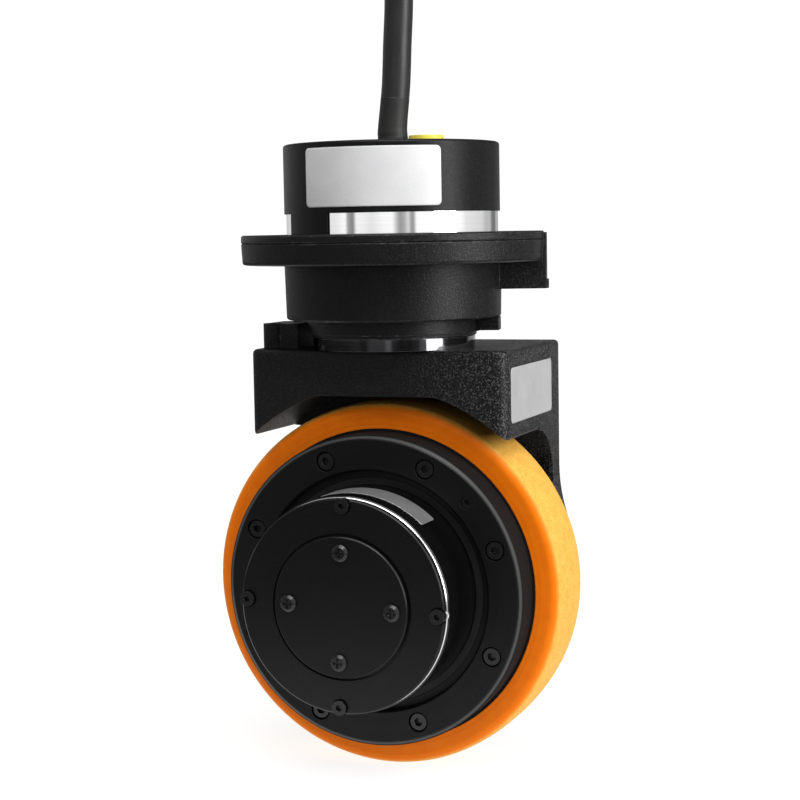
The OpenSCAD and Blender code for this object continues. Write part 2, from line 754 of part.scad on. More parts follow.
// Cast fork: block with the wheel arch, and the leg that carries the spindle
module soft_puck(r, edge, h) {
  rotate_extrude($fn = 32) polygon([[0, 0], [r - edge, 0],
    for (a = [-60:30:0]) [r - edge, edge] + edge * [cos(a), sin(a)],
    for (a = [0:30:60]) [r - edge, h - edge] + edge * [cos(a), sin(a)], [r - edge, h], [0, h]]);
}
module soft_block(w, front, back, base, top) {
  hull() for (side = [-1, 1]) {
    translate([side * (w / 2 - cast_front_r), cast_front_r - front, base])
      soft_puck(cast_front_r, cast_edge_r, top - base);
    translate([side * (w / 2 - cast_back_r), back - cast_back_r, base])
      soft_puck(cast_back_r, cast_edge_r, top - base);
  }
}
// Leg with straight sides that flare in a hollow curve to its round end, and with both faces' edges bevelled
module leg_plate() {
  bevel_share = 1 - leg_chamfer / leg_end_r;
  plate_t = leg_t - 2 * leg_chamfer;
  on_axle() {
    translate([0, 0, leg_chamfer - fork_back]) {
      linear_extrude(plate_t) leg_outline();
      mirror([0, 0, 1]) linear_extrude(leg_chamfer, scale = bevel_share) leg_outline();
      translate([0, 0, plate_t]) linear_extrude(leg_chamfer, scale = bevel_share) leg_outline();
    }
    disc_span(leg_boss_r, -leg_in - leg_chamfer, spindle_seat);
  }
}
module leg_outline() {
  top = axle_drop + fork_top_z - cast_edge_r;
  side = [for (k = [flare_steps:-1:0])
    [flare_x, flare_h] - polar(leg_flare_r, k * flare_angle / flare_steps)];
  other_side = [for (k = [flare_steps:-1:0]) [-side[k][0], side[k][1]]];
  circle(r = leg_end_r);
  polygon(concat(side, [[fork_w / 2, top], [-fork_w / 2, top]], other_side));
}
module underside_fillet() {
  low_z = fork_block_base_z - underside_fillet_h;
  high_z = fork_block_base_z + cast_edge_r;
  translate([-fork_w / 2, 0, 0]) rotate([90, 0, 90]) linear_extrude(fork_w)
    polygon([[leg_in + leg_chamfer, high_z], [arch_back, high_z],
      for (a = [0:15:90]) [arch_back + underside_fillet_w * sin(a), low_z + underside_fillet_h * cos(a)],
      [leg_in + leg_chamfer, low_z]]);
}
module fork() {
  color("#1b1b1d") difference() {
    union() {
      soft_block(fork_w, fork_front, fork_back, fork_block_base_z, fork_top_z);
      leg_plate();
      underside_fillet();
    }
    intersection() {
      on_axle() disc_span(arch_r, -arch_back, fork_front + cut);
      translate([-fork_w, -fork_w, axle_z]) cube([2 * fork_w, 2 * fork_w, wheel_r + arch_roof_gap]);
    }
    on_axle() {
      disc_span(spindle_pilot_r, -fork_back - cut, spindle_seat + cut);
      spindle_screw_places() {
        disc_span(m6[0], -fork_back, spindle_seat + cut);
        disc_span(m6[1] + counterbore_clear, -fork_back - cut, spindle_cb_depth - fork_back);
      }
    }
    disc_span(wire_bore_r, fork_top_z - wire_pocket_depth, fork_top_z + cut);
    translate([0, lead_y, lead_z]) rotate([90, 0, 0]) cylinder(r = lead_bore_r, h = lead_y);
    translate([0, lead_y, 0]) disc_span(lead_bore_r, axle_z, lead_z);
    translate([0, lead_y, lead_z]) sphere(r = lead_bore_r);
    fork_screw_places() {
      disc_span(m8[0], axle_z + arch_r, fork_top_z + cut);
      disc_span(m8[1] + counterbore_clear, axle_z, fork_top_z - fork_screw_web);
    }
    translate([dowel_hole_x, fork_back - dowel_edge, 0])
      disc_span(dowel_hole_r, fork_top_z - dowel_hole_depth, fork_top_z + cut);
    stop_lug_places() disc_span(m5[0], fork_top_z - screw_bite - cut, fork_top_z + cut);
  }
}
module fork_screw_places() {
  for (a = fork_screw_angles) rotate(a) translate([fork_screw_ring_r, 0, 0]) children();
}
module spindle_screw_places() {
  polar_copies(spindle_screw_n, spindle_screw_ring_r, 30) children();
}
module fork_screws() {
  color("#303033") fork_screw_places()
    translate([0, 0, fork_top_z - fork_screw_web - m8[2]]) mirror([0, 0, 1])
      socket_screw(m8, fork_screw_web + fork_screw_bite);
}
module stop_lug_places() {
  front = [lug_boss_r - lug_left, lug_boss_r - lug_front, 0];
  back = [-(lug_left + lug_right) / 2, lug_back - lug_boss_r, 0];
  for (p = [front, back]) translate(p) children();
}
// Lug on the fork's top that meets the end stop
module stop_lug() {
  top = fork_top_z + lug_h;
  color("#1e1e20") difference() {
    union() {
      translate([lug_boss_r - lug_left, lug_boss_r - lug_front, fork_top_z])
        cylinder(r = lug_boss_r, h = lug_h);
      translate([-lug_left + 2 * lug_boss_r - lug_neck, -lug_front + lug_neck, fork_top_z])
        cube([lug_left - lug_right - 2 * lug_boss_r + lug_neck, lug_front + lug_back - lug_neck, lug_h]);
      translate([-lug_left + lug_neck, -lug_front + 2 * lug_boss_r - lug_neck, fork_top_z])
        cube([lug_left - lug_right - lug_neck, lug_front + lug_back - 2 * lug_boss_r + lug_neck, lug_h]);
    }
    stop_lug_places() {
      disc_span(m5[0], fork_top_z - cut, top + cut);
      disc_span(m5[1] + head_clear, top - m5[2] - head_clear, top + cut);
    }
  }
}
module stop_lug_screws() {
  color("#303033") stop_lug_places() translate([0, 0, fork_top_z + lug_h - head_clear])
    socket_screw(m5, lug_h - head_clear - m5[2] + screw_bite);
}

// Fixed spindle that the wheel turns on
module spindle() {
  color("#77797d") on_axle() difference() {
    union() {
      disc_span(spindle_pilot_r, spindle_inset - fork_back, spindle_seat);
      disc_span(spindle_flange_r, spindle_seat, spindle_flange_in);
      disc_span(spindle_shoulder_r, spindle_flange_in, rear_bearing_in);
      disc_span(neck_shaft_r, rear_bearing_in, front_bearing_out);
    }
    disc_span(spindle_bore_r, spindle_inset + spindle_end_t - fork_back, front_bearing_out + cut);
    translate([0, 0, -lead_y]) rotate([-90, 0, 0]) cylinder(r = lead_bore_r, h = spindle_pilot_r + cut);
    spindle_screw_places() disc_span(m6[0], spindle_seat - cut, spindle_flange_in - spindle_flange_t / 4);
    post_places() disc_span(m4[0], front_bearing_out - screw_bite - cut, front_bearing_out + cut);
  }
}
module spindle_screws() {
  head_top = spindle_cb_depth - m6[2] - fork_back;
  color("#303033") on_axle() spindle_screw_places()
    translate([0, 0, head_top]) mirror([0, 0, 1])
      socket_screw(m6, spindle_flange_in - spindle_flange_t / 4 - m6[2] - head_top);
}
module post_places() {
  polar_copies(planet_n, planet_ring_r, 180 / planet_n) children();
}
// Carrier plate with the planet pins and the posts that hold the drive motor
module planet_carrier() {
  color("#85878b") on_axle() difference() {
    union() {
      disc_span(carrier_r, front_bearing_out, carrier_face);
      polar_copies(planet_n, planet_ring_r)
        disc_span(planet_pin_r, carrier_face, planet_in + gear_w + planet_gap);
      post_places() disc_span(post_r, carrier_face, motor_back);
    }
    disc_span(spindle_bore_r, front_bearing_out - cut, carrier_face + cut);
    post_places() disc_span(m4[0], front_bearing_out - cut, motor_back + cut);
  }
}
// Screws that clamp the drive motor and the carrier plate to the spindle
module post_screws() {
  seat = motor_back + motor_back_t;
  color("#303033") on_axle() post_places() translate([0, 0, seat + m4[2]])
    socket_screw(m4, seat - front_bearing_out + screw_bite);
}
module wheel_bearing_inners() {
  color("#a3a5a9") on_axle() for (from = [rear_bearing_in, front_bearing_out - wheel_bearing_w])
    translate([0, 0, from])
      bearing_ring(neck_shaft_r + track_wall(neck_shaft_r, wheel_bearing_r), neck_shaft_r, wheel_bearing_w,
                   track_r(neck_shaft_r, wheel_bearing_r), ball_r(neck_shaft_r, wheel_bearing_r));
}

// Drive motor
module motor_housing() {
  color("#17171a") on_axle() difference() {
    union() {
      rotate_extrude() polygon([[0, motor_back], [motor_r, motor_back],
        [motor_r, motor_front - motor_edge_r], [motor_r - motor_edge_r, motor_front], [0, motor_front]]);
      polar_copies(planet_n, planet_ring_r)
        disc_span(planet_boss_r, planet_in + gear_w + planet_gap, motor_back);
    }
    disc_span(motor_inner_r, motor_back + motor_back_t, motor_front + cut);
    disc_span(shaft_bearing_r, motor_back + cut, motor_back + motor_back_t + cut);
    disc_span(rotor_shaft_r + 2 * cut, motor_back - cut, motor_back + 2 * cut);
    post_places() disc_span(m4[0], motor_back - cut, motor_back + motor_back_t + cut);
    rim_screw_places() disc_span(m4[0], motor_front - screw_bite - cut, motor_front + cut);
  }
}
module drive_stator() {
  from = motor_back + motor_back_t + stator_seat;
  color("#8a4a24") on_axle() ring_span(motor_inner_r, drive_stator_r, from, from + drive_stator_t);
}
module drive_shaft_bearings() {
  color("#9a9b9e") on_axle() {
    shaft_bearing(motor_back + cut);
    shaft_bearing(motor_front - shaft_bearing_w);
  }
}
module motor_cover() {
  face = motor_front + motor_cover_t;
  rim_r = motor_r - motor_cover_inset;
  edge = motor_edge_r / 2;
  color("#161618") on_axle() difference() {
    union() {
      rotate_extrude() polygon([[0, motor_front], [rim_r - edge, motor_front], [rim_r, motor_front + edge],
        [rim_r, face - edge], [rim_r - edge, face], [0, face]]);
      ring_span(motor_inner_r, motor_inner_r - motor_cover_spigot, motor_front - motor_cover_spigot,
        motor_front);
      disc_span(motor_boss_r, motor_front - shaft_bearing_w, motor_front);
    }
    disc_span(shaft_bearing_r, motor_front - shaft_bearing_w - cut, motor_front);
    disc_span(end_plate_r + end_recess_gap, face - end_recess, face + cut);
    rim_screw_places() {
      disc_span(m4[0], motor_front - motor_cover_spigot - cut, face + cut);
      disc_span(m4[1] + rim_head_clear, face - rim_seat_depth, face + cut);
    }
    polar_copies(end_screw_n, end_screw_ring_r, end_screw_turn) disc_span(m4[0], motor_front - cut, face);
  }
}
// Screws of the motor's cover, in seats that open at its rim
module rim_screw_places() {
  polar_copies(rim_screw_n, rim_screw_ring_r, rim_screw_turn) children();
}
module rim_screws() {
  seat = motor_front + motor_cover_t - rim_seat_depth;
  color("#2b2b2e") on_axle() rim_screw_places() translate([0, 0, seat + m4[2]])
    socket_screw(m4, seat - motor_front + screw_bite);
}
module end_plate() {
  seat = motor_front + motor_cover_t - end_recess;
  color("#161618") on_axle() difference() {
    rotate_extrude() polygon([[0, seat], [end_plate_r, seat],
      [end_plate_r, seat + end_plate_t - motor_edge_r / 2],
      [end_plate_r - motor_edge_r / 2, seat + end_plate_t], [0, seat + end_plate_t]]);
    polar_copies(end_screw_n, end_screw_ring_r, end_screw_turn)
      disc_span(m4[0], seat - cut, seat + end_plate_t + cut);
  }
}
module end_plate_screws() {
  seat = motor_front + motor_cover_t - end_recess;
  color("#2b2b2e") on_axle() polar_copies(end_screw_n, end_screw_ring_r, end_screw_turn)
    translate([0, 0, seat + end_plate_t]) cross_screw(end_plate_t + motor_cover_t - end_recess);
}

// Wheel
module tyre() {
  top = wheel_r - tread_crown;
  side = hub_face - tyre_shoulder_r;
  color("#e8871e") on_axle() rotate_extrude() polygon([
    [hub_r, -hub_face], [top - tyre_shoulder_r, -hub_face],
    for (a = [-75:15:-15]) [top - tyre_shoulder_r, -side] + tyre_shoulder_r * [cos(a), sin(a)],
    [top, -side], [wheel_r, -side / 2], [wheel_r, side / 2], [top, side],
    for (a = [15:15:75]) [top - tyre_shoulder_r, side] + tyre_shoulder_r * [cos(a), sin(a)],
    [top - tyre_shoulder_r, hub_face], [hub_r, hub_face]]);
}
module hub() {
  color("#1d1d1f") on_axle() difference() {
    disc_span(hub_r, -hub_face, hub_face);
    disc_span(gear_case_r, wheel_gear_in, hub_face + cut);
    disc_span(bearing_rib_r, -hub_face - cut, hub_face);
    disc_span(wheel_bearing_r, -hub_face - cut, rear_bearing_out);
    disc_span(wheel_bearing_r, front_bearing_out - wheel_bearing_w, wheel_gear_in + cut);
    hub_screw_places() disc_span(m5[0], hub_face - screw_bite - cut, hub_face + cut);
    difference() {
      ring_span(hub_r - hub_rim_t, hub_boss_r, -hub_face - cut, hub_face - screw_bite - hub_pocket_web);
      for (i = [0:hub_rib_n / 2 - 1]) rotate(hub_screw_turn + (i + 0.5) * 360 / hub_rib_n)
        translate([-hub_r, -hub_rib_t / 2, -hub_face + cut]) cube([2 * hub_r, hub_rib_t, 2 * hub_face]);
    }
  }
}
module hub_screw_places() {
  polar_copies(hub_screw_n, hub_screw_ring_r, hub_screw_turn) children();
}
module hub_cover() {
  recess_z = cover_face - cover_recess_depth;
  color("#1f1f21") on_axle() difference() {
    rotate_extrude() polygon([[cover_bore_r, hub_face], [cover_r, hub_face],
      [cover_r, cover_face - cover_chamfer_h], [cover_r - cover_chamfer, cover_face],
      [cover_recess_r + flange_edge, cover_face], [cover_recess_r, cover_face - flange_edge],
      [cover_recess_r, recess_z], [seal_r, recess_z], [seal_r, recess_z - seal_t],
      [cover_bore_r, recess_z - seal_t]]);
    hub_screw_places() {
      disc_span(m5[0], hub_face - cut, cover_face + cut);
      disc_span(m5[1] + counterbore_clear, cover_face - hub_cb_depth, cover_face + cut);
    }
    rotate(plug_angle) translate([hub_screw_ring_r, 0, 0])
      disc_span(oil_plug_r, cover_face - oil_plug_inset - oil_plug_h, cover_face + cut);
  }
}
module hub_screws() {
  seat = cover_face - hub_cb_depth;
  color("#2b2b2e") on_axle() hub_screw_places() translate([0, 0, seat + m5[2]])
    socket_screw(m5, seat - hub_face + screw_bite);
}
module oil_plug() {
  top = cover_face - oil_plug_inset;
  color("#2b2b2e") on_axle() rotate(plug_angle) translate([hub_screw_ring_r, 0, top - oil_plug_h])
    difference() {
      cylinder(r = oil_plug_r, h = oil_plug_h);
      translate([0, 0, oil_plug_h / 2]) cylinder(d = m4[3] / cos(30), h = oil_plug_h, $fn = 6);
    }
}
module shaft_seal() {
  top = cover_face - cover_recess_depth;
  color("#101010") on_axle() ring_span(seal_r, motor_r + seal_lip, top - seal_t, top);
}
module rear_seal() {
  color("#101010") on_axle()
    ring_span(wheel_bearing_r, spindle_shoulder_r + seal_lip, -hub_face, rear_bearing_in);
}
module wheel_ring_gear() {
  color("#8d8f93") on_axle() translate([0, 0, wheel_gear_in]) internal_gear(hub_face - wheel_gear_in);
}
module wheel_bearing_outers() {
  color("#a3a5a9") on_axle() for (from = [rear_bearing_in, front_bearing_out - wheel_bearing_w])
    translate([0, 0, from])
      bearing_ring(wheel_bearing_r, wheel_bearing_r - track_wall(neck_shaft_r, wheel_bearing_r),
                   wheel_bearing_w, track_r(neck_shaft_r, wheel_bearing_r),
                   ball_r(neck_shaft_r, wheel_bearing_r));
}
module wheel_bearing_balls() {
  color("#d0d2d6") on_axle() for (from = [rear_bearing_in, front_bearing_out - wheel_bearing_w])
    translate([0, 0, from])
      bearing_balls(wheel_ball_n, track_r(neck_shaft_r, wheel_bearing_r),
                    ball_r(neck_shaft_r, wheel_bearing_r), wheel_bearing_w);
}
module drive_planet(i) {
  color("#9b9da1") on_axle() rotate(i * 360 / planet_n) translate([planet_ring_r, 0, planet_in])
    planet(gear_w);
}
module drive_planet_1() { drive_planet(0); }
module drive_planet_2() { drive_planet(1); }
module drive_planet_3() { drive_planet(2); }
module drive_rotor() {
  from = motor_back + motor_back_t + stator_seat;
  rotor_r = drive_stator_r - air_gap;
  color("#7c5a3c") on_axle() {
    translate([0, 0, planet_in]) external_gear(sun_teeth, gear_w);
    disc_span(rotor_shaft_r, planet_in, motor_front - cut);
    ring_span(rotor_r, rotor_r - rotor_rim_t, from, from + drive_stator_t);
    disc_span(rotor_r - rotor_rim_t / 2, from + stator_seat, from + stator_seat + 2 * rotor_web_t);
  }
}

cap();
cap_screws();
driver_board();
cable_gland();
cap_plug();
motor_ring();
ring_screws();
steer_stator();
end_shield();
steer_shaft_bearings();
flange_cover();
cover_screws();
gearbox_housing();
steer_ring_gear();
steer_bearing_outer();
end_stop();
homing_sensor();
cable();
cable_coil();
cable_connector();
output_flange();
steer_bearing_inner();
steer_bearing_balls();
fork();
fork_screws();
stop_lug();
stop_lug_screws();
spindle();
spindle_screws();
planet_carrier();
post_screws();
wheel_bearing_inners();
motor_housing();
drive_stator();
drive_shaft_bearings();
motor_cover();
rim_screws();
end_plate();
end_plate_screws();
tyre();
hub();
hub_cover();
hub_screws();
oil_plug();
shaft_seal();
rear_seal();
wheel_ring_gear();
wheel_bearing_outers();
wheel_bearing_balls();
drive_rotor();
drive_planet_1();
drive_planet_2();
drive_planet_3();
steer_rotor();
steer_planet_1();
steer_planet_2();
steer_planet_3();
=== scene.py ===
"""AGV drive wheel unit: a steered and driven wheel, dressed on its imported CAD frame."""

import bpy
import numpy as np
from mathutils import Matrix, Vector


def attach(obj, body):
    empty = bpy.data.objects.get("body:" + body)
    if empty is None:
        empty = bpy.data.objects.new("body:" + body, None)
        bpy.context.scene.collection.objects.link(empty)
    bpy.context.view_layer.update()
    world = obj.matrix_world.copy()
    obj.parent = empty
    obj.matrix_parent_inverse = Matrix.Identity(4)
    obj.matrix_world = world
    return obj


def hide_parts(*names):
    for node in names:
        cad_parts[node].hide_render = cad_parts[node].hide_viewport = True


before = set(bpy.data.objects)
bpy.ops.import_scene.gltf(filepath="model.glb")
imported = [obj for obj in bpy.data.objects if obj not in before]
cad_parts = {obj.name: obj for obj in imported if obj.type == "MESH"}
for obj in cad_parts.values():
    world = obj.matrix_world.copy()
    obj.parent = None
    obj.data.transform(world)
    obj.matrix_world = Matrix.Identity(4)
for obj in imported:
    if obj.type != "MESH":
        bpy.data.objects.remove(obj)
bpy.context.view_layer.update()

# ------------------------------------------------------------------------------------------------------------
# Camera: a long lens at the height of the mounting flange, to the right of the wheel's face. It looks a few
# degrees down and is rolled a little, as a camera on a tripod beside the unit.
camera_place = Vector((0.327184, -0.852487, 0.002145))
camera_turn = np.radians(20.859)
camera_tilt = np.radians(5.303)
camera_roll = np.radians(-1.020)
camera_back = Vector((np.sin(camera_turn) * np.cos(camera_tilt), -np.cos(camera_turn) * np.cos(camera_tilt),
                      np.sin(camera_tilt)))
level_right = Vector((np.cos(camera_turn), np.sin(camera_turn), 0))
level_up = camera_back.cross(level_right)
camera_right = np.cos(camera_roll) * level_right + np.sin(camera_roll) * level_up
camera_up = np.cos(camera_roll) * level_up - np.sin(camera_roll) * level_right
camera_data = bpy.data.cameras.new("camera")
camera_data.lens = 83.12
camera_data.sensor_width = 36
camera = bpy.data.objects.new("camera", camera_data)
camera_axes = Matrix((camera_right, camera_up, camera_back)).transposed().to_4x4()
camera.matrix_world = Matrix.Translation(camera_place) @ camera_axes
bpy.context.scene.collection.objects.link(camera)
bpy.context.scene.camera = camera

# ------------------------------------------------------------------------------------------------------------
# Cable: one round jacketed motor cable out of the cap's gland. It rises straight, bends over behind the unit,
# comes down to the floor and lies there in a flat coil; its far end goes into the connector. Extruded PVC.
cable_radius = 0.007
cable_swing = np.radians(21)
away = np.array((-np.sin(cable_swing), np.cos(cable_swing), 0))
aside = np.array((np.cos(cable_swing), np.sin(cable_swing), 0))
upward = np.array((0.0, 0.0, 1.0))
# Millimetres away from the viewer, aside to the viewer's right, and up from the flange
cable_route = 0.001 * np.array([
    [0, 1, 46], [0, 1, 52], [0, 3, 72], [0, 4, 92], [0, 5, 110], [0, 5, 126], [6, 5, 158], [25, 5, 186],
    [52, 5, 204], [85, 5, 211], [118, 5, 204], [145, 5, 186], [164, 5, 158], [170, 5, 126], [170, 4, 96],
    [170, 2, 66], [170, 0, 40], [170, -6, 10], [170, -16, -25], [170, -29, -60], [170, -42, -95],
    [170, -52, -128], [170, -58, -160], [170, -60, -195], [170, -55, -218], [170, -42, -237],
    [170, -23, -250], [170, 0, -255]])
coil_centre = 0.250
coil_outer = 0.080
coil_inner = 0.066
coil_height = -0.255
connector_height = -0.2365
connector_away = 0.322
connector_half = 0.026
connector_grip = 0.008
jacket_columns = 32
path_steps = 5


def ease(value, start, stop):
    """Smooth step: 0 up to start, 1 from stop, and 3x^2 - 2x^3 between them."""
    part = np.clip((value - start) / (stop - start), 0, 1)
    return part * part * (3 - 2 * part)


# One turn of the coil and half of the next, counted in degrees from where the cable meets the floor. It winds
# inward on itself between 270 and 360, and lifts and swings out to the connector after 455.
coil_turn = np.arange(15, 500, 15.0)
coil_radius = coil_outer - (coil_outer - coil_inner) * ease(coil_turn, 270, 360)
coil_swing = 0.0095
coil_radius = coil_radius + coil_swing * ease(coil_turn, 485, 520)
coil_angle = np.radians(180 - coil_turn)
coil_rise = (connector_height - coil_height) * ease(coil_turn, 455, 500)
coil_route = np.stack([coil_centre + coil_radius * np.cos(coil_angle), coil_radius * np.sin(coil_angle),
                       coil_height + coil_rise], 1)
coil_end = np.array([[0.3150, 0.0400, connector_height], [connector_away, connector_half, connector_height],
                     [connector_away, connector_half - connector_grip, connector_height]])
cable_points = np.concatenate([cable_route, coil_route, coil_end]) @ np.stack([away, aside, upward])


def smooth_path(points, steps):
    """Catmull-Rom curve through the points: each span is the cubic with tangents (next - previous) / 2."""
    padded = np.concatenate([2 * points[:1] - points[1:2], points, 2 * points[-1:] - points[-2:-1]])
    before, start, stop, after = padded[:-3], padded[1:-2], padded[2:-1], padded[3:]
    part = np.arange(steps)[:, None, None] / steps
    curve = 0.5 * (2 * start + (stop - before) * part
                   + (2 * before - 5 * start + 4 * stop - after) * part ** 2
                   + (3 * start - before - 3 * stop + after) * part ** 3)
    return np.concatenate([curve.transpose(1, 0, 2).reshape(-1, 3), points[-1:]])


def solid_of_rings(name, rings, closes="poles"):
    """Mesh from a grid of points, rows by columns: each row is a closed ring, and neighbours are joined by
    quads. With "poles" the first and last row shrink to one point each; with "loop" the last row meets the
    first. The faces are turned outward by the sign of the volume that they enclose."""
    rows, columns = rings.shape[:2]
    column = np.arange(columns)
    beside = (column + 1) % columns
    fans = np.zeros((0, 3), int)
    if closes == "loop":
        points = rings.reshape(-1, 3)
        low = np.arange(rows)[:, None] * columns
        high = (np.arange(rows)[:, None] + 1) % rows * columns
    else:
        points = np.concatenate([rings[1:-1].reshape(-1, 3), rings[:1, 0], rings[-1:, 0]])
        low = np.arange(rows - 3)[:, None] * columns
        high = low + columns
        first = np.full(columns, len(points) - 2)
        last = np.full(columns, len(points) - 1)
        top_row = (rows - 3) * columns
        fans = np.concatenate([np.stack([first, beside, column], 1),
                               np.stack([last, top_row + column, top_row + beside], 1)])
    quads = np.stack([low + column, low + beside, high + beside, high + column], -1).reshape(-1, 4)
    corner = points[np.concatenate([quads[:, :3], quads[:, [0, 2, 3]], fans])] - points.mean(0)
    if (corner[:, 0] * np.cross(corner[:, 1], corner[:, 2])).sum() < 0:
        quads, fans = quads[:, ::-1], fans[:, ::-1]
    mesh = bpy.data.meshes.new(name)
    mesh.from_pydata(points.tolist(), [], quads.tolist() + fans.tolist())
    mesh.shade_smooth()
    piece = bpy.data.objects.new(name, mesh)
    bpy.context.scene.collection.objects.link(piece)
    return piece


def tube_rings(path, radius, reference, columns):
    """Rings across a path: point = path + radius (cos a side + sin a other), where side is the reference made
    square to the tangent, other is tangent x side, and radius holds one value per row or per point."""
    tangent = np.gradient(path, axis=0)
    tangent /= np.linalg.norm(tangent, axis=1)[:, None]
    side = reference - (reference * tangent).sum(1)[:, None] * tangent
    side /= np.linalg.norm(side, axis=1)[:, None]
    other = np.cross(tangent, side)
    angle = np.linspace(0, 2 * np.pi, columns, endpoint=False)[None, :, None]
    around = np.cos(angle) * side[:, None] + np.sin(angle) * other[:, None]
    return path[:, None] + np.reshape(radius, (len(path), -1, 1)) * around


def capped(rings):
    """The rings with a point added at the middle of both ends, so that they close as poles."""
    ends = [np.broadcast_to(ring.mean(0), ring.shape)[None] for ring in (rings[0], rings[-1])]
    return np.concatenate([ends[0], rings, ends[1]])


cable_path = smooth_path(cable_points, path_steps)
lowest_middle = coil_height
cable_path[:, 2] = np.maximum(cable_path[:, 2], lowest_middle)
# The tube's reference turns from aside to away while the cable hangs, and to upward where it lies down
row = np.arange(len(cable_path))
hangs = ease(row, 70, 90)[:, None]
lies = ease(row, 125, 140)[:, None]
cable_reference = (1 - hangs) * aside + hangs * (1 - lies) * away + lies * upward
cable = solid_of_rings("cable_jacket", capped(tube_rings(
    cable_path, np.full(len(cable_path), cable_radius), cable_reference, jacket_columns)))


class Wire:
    """One socket of a shader tree. Arithmetic on it adds Math nodes; node() adds any other node."""

    def __init__(self, tree, socket=None):
        self.tree = tree
        self.socket = socket

    def node(self, kind, settings, values, out=0):
        """Add a node: its settings first, then the value or the link of each named socket."""
        made = self.tree.nodes.new(kind)
        for name, value in settings.items():
            if name != "stops":
                setattr(made, name, value)
                continue
            while len(made.color_ramp.elements) < len(value):
                made.color_ramp.elements.new(1)
            for element, (position, shade) in zip(made.color_ramp.elements, value):
                element.position = position
                element.color = (shade, shade, shade, 1)
        for name, value in values.items():
            if isinstance(value, Wire):
                self.tree.links.new(value.socket, made.inputs[name])
            else:
                made.inputs[name].default_value = value
        return Wire(self.tree, made.outputs[out] if out is not None else None)

    def maths(self, operation, *values):
        return self.node("ShaderNodeMath", {"operation": operation}, dict(enumerate(values)))

    def __add__(self, other):
        return self.maths("ADD", self, other)

    def __sub__(self, other):
        return self.maths("SUBTRACT", self, other)

    def __rsub__(self, other):
        return self.maths("SUBTRACT", other, self)

    def __mul__(self, other):
        return self.maths("MULTIPLY", self, other)

    def __pow__(self, other):
        return self.maths("POWER", self, other)

    __radd__ = __add__
    __rmul__ = __mul__


def tint(wire, part, first, second):
    """Colour between first and second by the factor part; either may be a colour or a wire."""
    ends = [colour if isinstance(colour, Wire) else (*colour, 1) for colour in (first, second)]
    return wire.node("ShaderNodeMix", {"data_type": "RGBA"}, {0: part, 6: ends[0], 7: ends[1]}, 2)


def noise(wire, place, scale, detail=2.0, rough=0.5):
    return wire.node("ShaderNodeTexNoise", {}, {"Vector": place, "Scale": scale, "Detail": detail,
                                                "Roughness": rough})


def ramp(wire, value, start, stop, low=0.0, high=1.0):
    """Low below start, high above stop, and a straight ramp between them."""
    return wire.node("ShaderNodeMapRange", {"clamp": True}, {0: value, 1: start, 2: stop, 3: low, 4: high})


def vector_times(wire, place, factors):
    return wire.node("ShaderNodeVectorMath", {"operation": "MULTIPLY"}, {0: place, 1: factors})


def rounded_edges(wire, radius):
    return wire.node("ShaderNodeBevel", {"samples": 4}, {"Radius": radius})


def bumped(wire, height, depth, normal):
    return wire.node("ShaderNodeBump", {}, {"Strength": 1.0, "Distance": depth, "Height": height,
                                            "Normal": normal})


def begin_material(name):
    """An empty material, a wire on its tree, and the wire of the object's own coordinates."""
    made = bpy.data.materials.new(name)
    made.use_nodes = True
    made.node_tree.nodes.clear()
    wire = Wire(made.node_tree)
    return made, wire, wire.node("ShaderNodeTexCoord", {}, {}, "Object")


def end_material(wire, values):
    shader = wire.node("ShaderNodeBsdfPrincipled", {}, values)
    wire.node("ShaderNodeOutputMaterial", {}, {"Surface": shader}, None)


def dress(material, *pieces):
    """Give pieces, or the CAD nodes of those names, one material in all their slots."""
    for piece in pieces:
        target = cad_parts[piece] if isinstance(piece, str) else piece
        if not target.material_slots:
            target.data.materials.append(material)
        for slot in target.material_slots:
            slot.material = material


def soft_plastic(name, dark, light, grain, depth, rough, specular=0.4, edge=0.0005):
    """Rubber, PVC or moulded plastic: a fine grain in colour and height, and broad clouds of wear in the
    roughness. Rough holds the roughness of the rubbed and of the dull patches."""
    made, wire, place = begin_material(name)
    fine = noise(wire, place, grain, 3.0, 0.6)
    broad = noise(wire, place, 45.0, 3.0, 0.55)
    part = ramp(wire, 0.6 * fine + 0.4 * broad, 0.38, 0.62)
    end_material(wire, {"Base Color": tint(wire, part, dark, light),
                        "Roughness": ramp(wire, broad, 0.35, 0.65, *rough), "Specular IOR Level": specular,
                        "Normal": bumped(wire, fine, depth, rounded_edges(wire, edge))})
    return made


jacket_finish = soft_plastic("cable_jacket", (0.009, 0.009, 0.010), (0.017, 0.017, 0.018), 1100.0, 0.00003,
                             (0.34, 0.50))
dress(jacket_finish, cable)
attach(cable, "head")
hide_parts("cable", "cable_coil")

# ------------------------------------------------------------------------------------------------------------
# Strain relief: a black moulded sleeve, pressed into the gland's nut on the cap. It hugs the cable, widens in
# a hollow curve towards the cap, and has shallow ribs where it leaves the nut.
cap_top = 0.0435
sleeve_length = 0.022
sleeve_lip = 0.00004
sleeve_flare = 0.0006
rib_depth = 0.00005
rib_count = 5
sleeve_up = np.linspace(0, sleeve_length, 60)
sleeve_heights = cap_top + sleeve_up
sleeve_middle = np.stack([np.interp(sleeve_heights, cable_path[:40, 2], cable_path[:40, axis])
                          for axis in range(2)] + [sleeve_heights], 1)
sleeve_part = sleeve_up / sleeve_length
sleeve_ribs = rib_depth * np.sin(2 * np.pi * rib_count * sleeve_part) * ease(-sleeve_part, -0.5, -0.2)
sleeve_radius = cable_radius + sleeve_lip + sleeve_flare * (1 - sleeve_part) ** 3 + sleeve_ribs
sleeve = solid_of_rings("strain_relief", capped(tube_rings(
    sleeve_middle, sleeve_radius, np.broadcast_to(aside, sleeve_middle.shape), 48)))
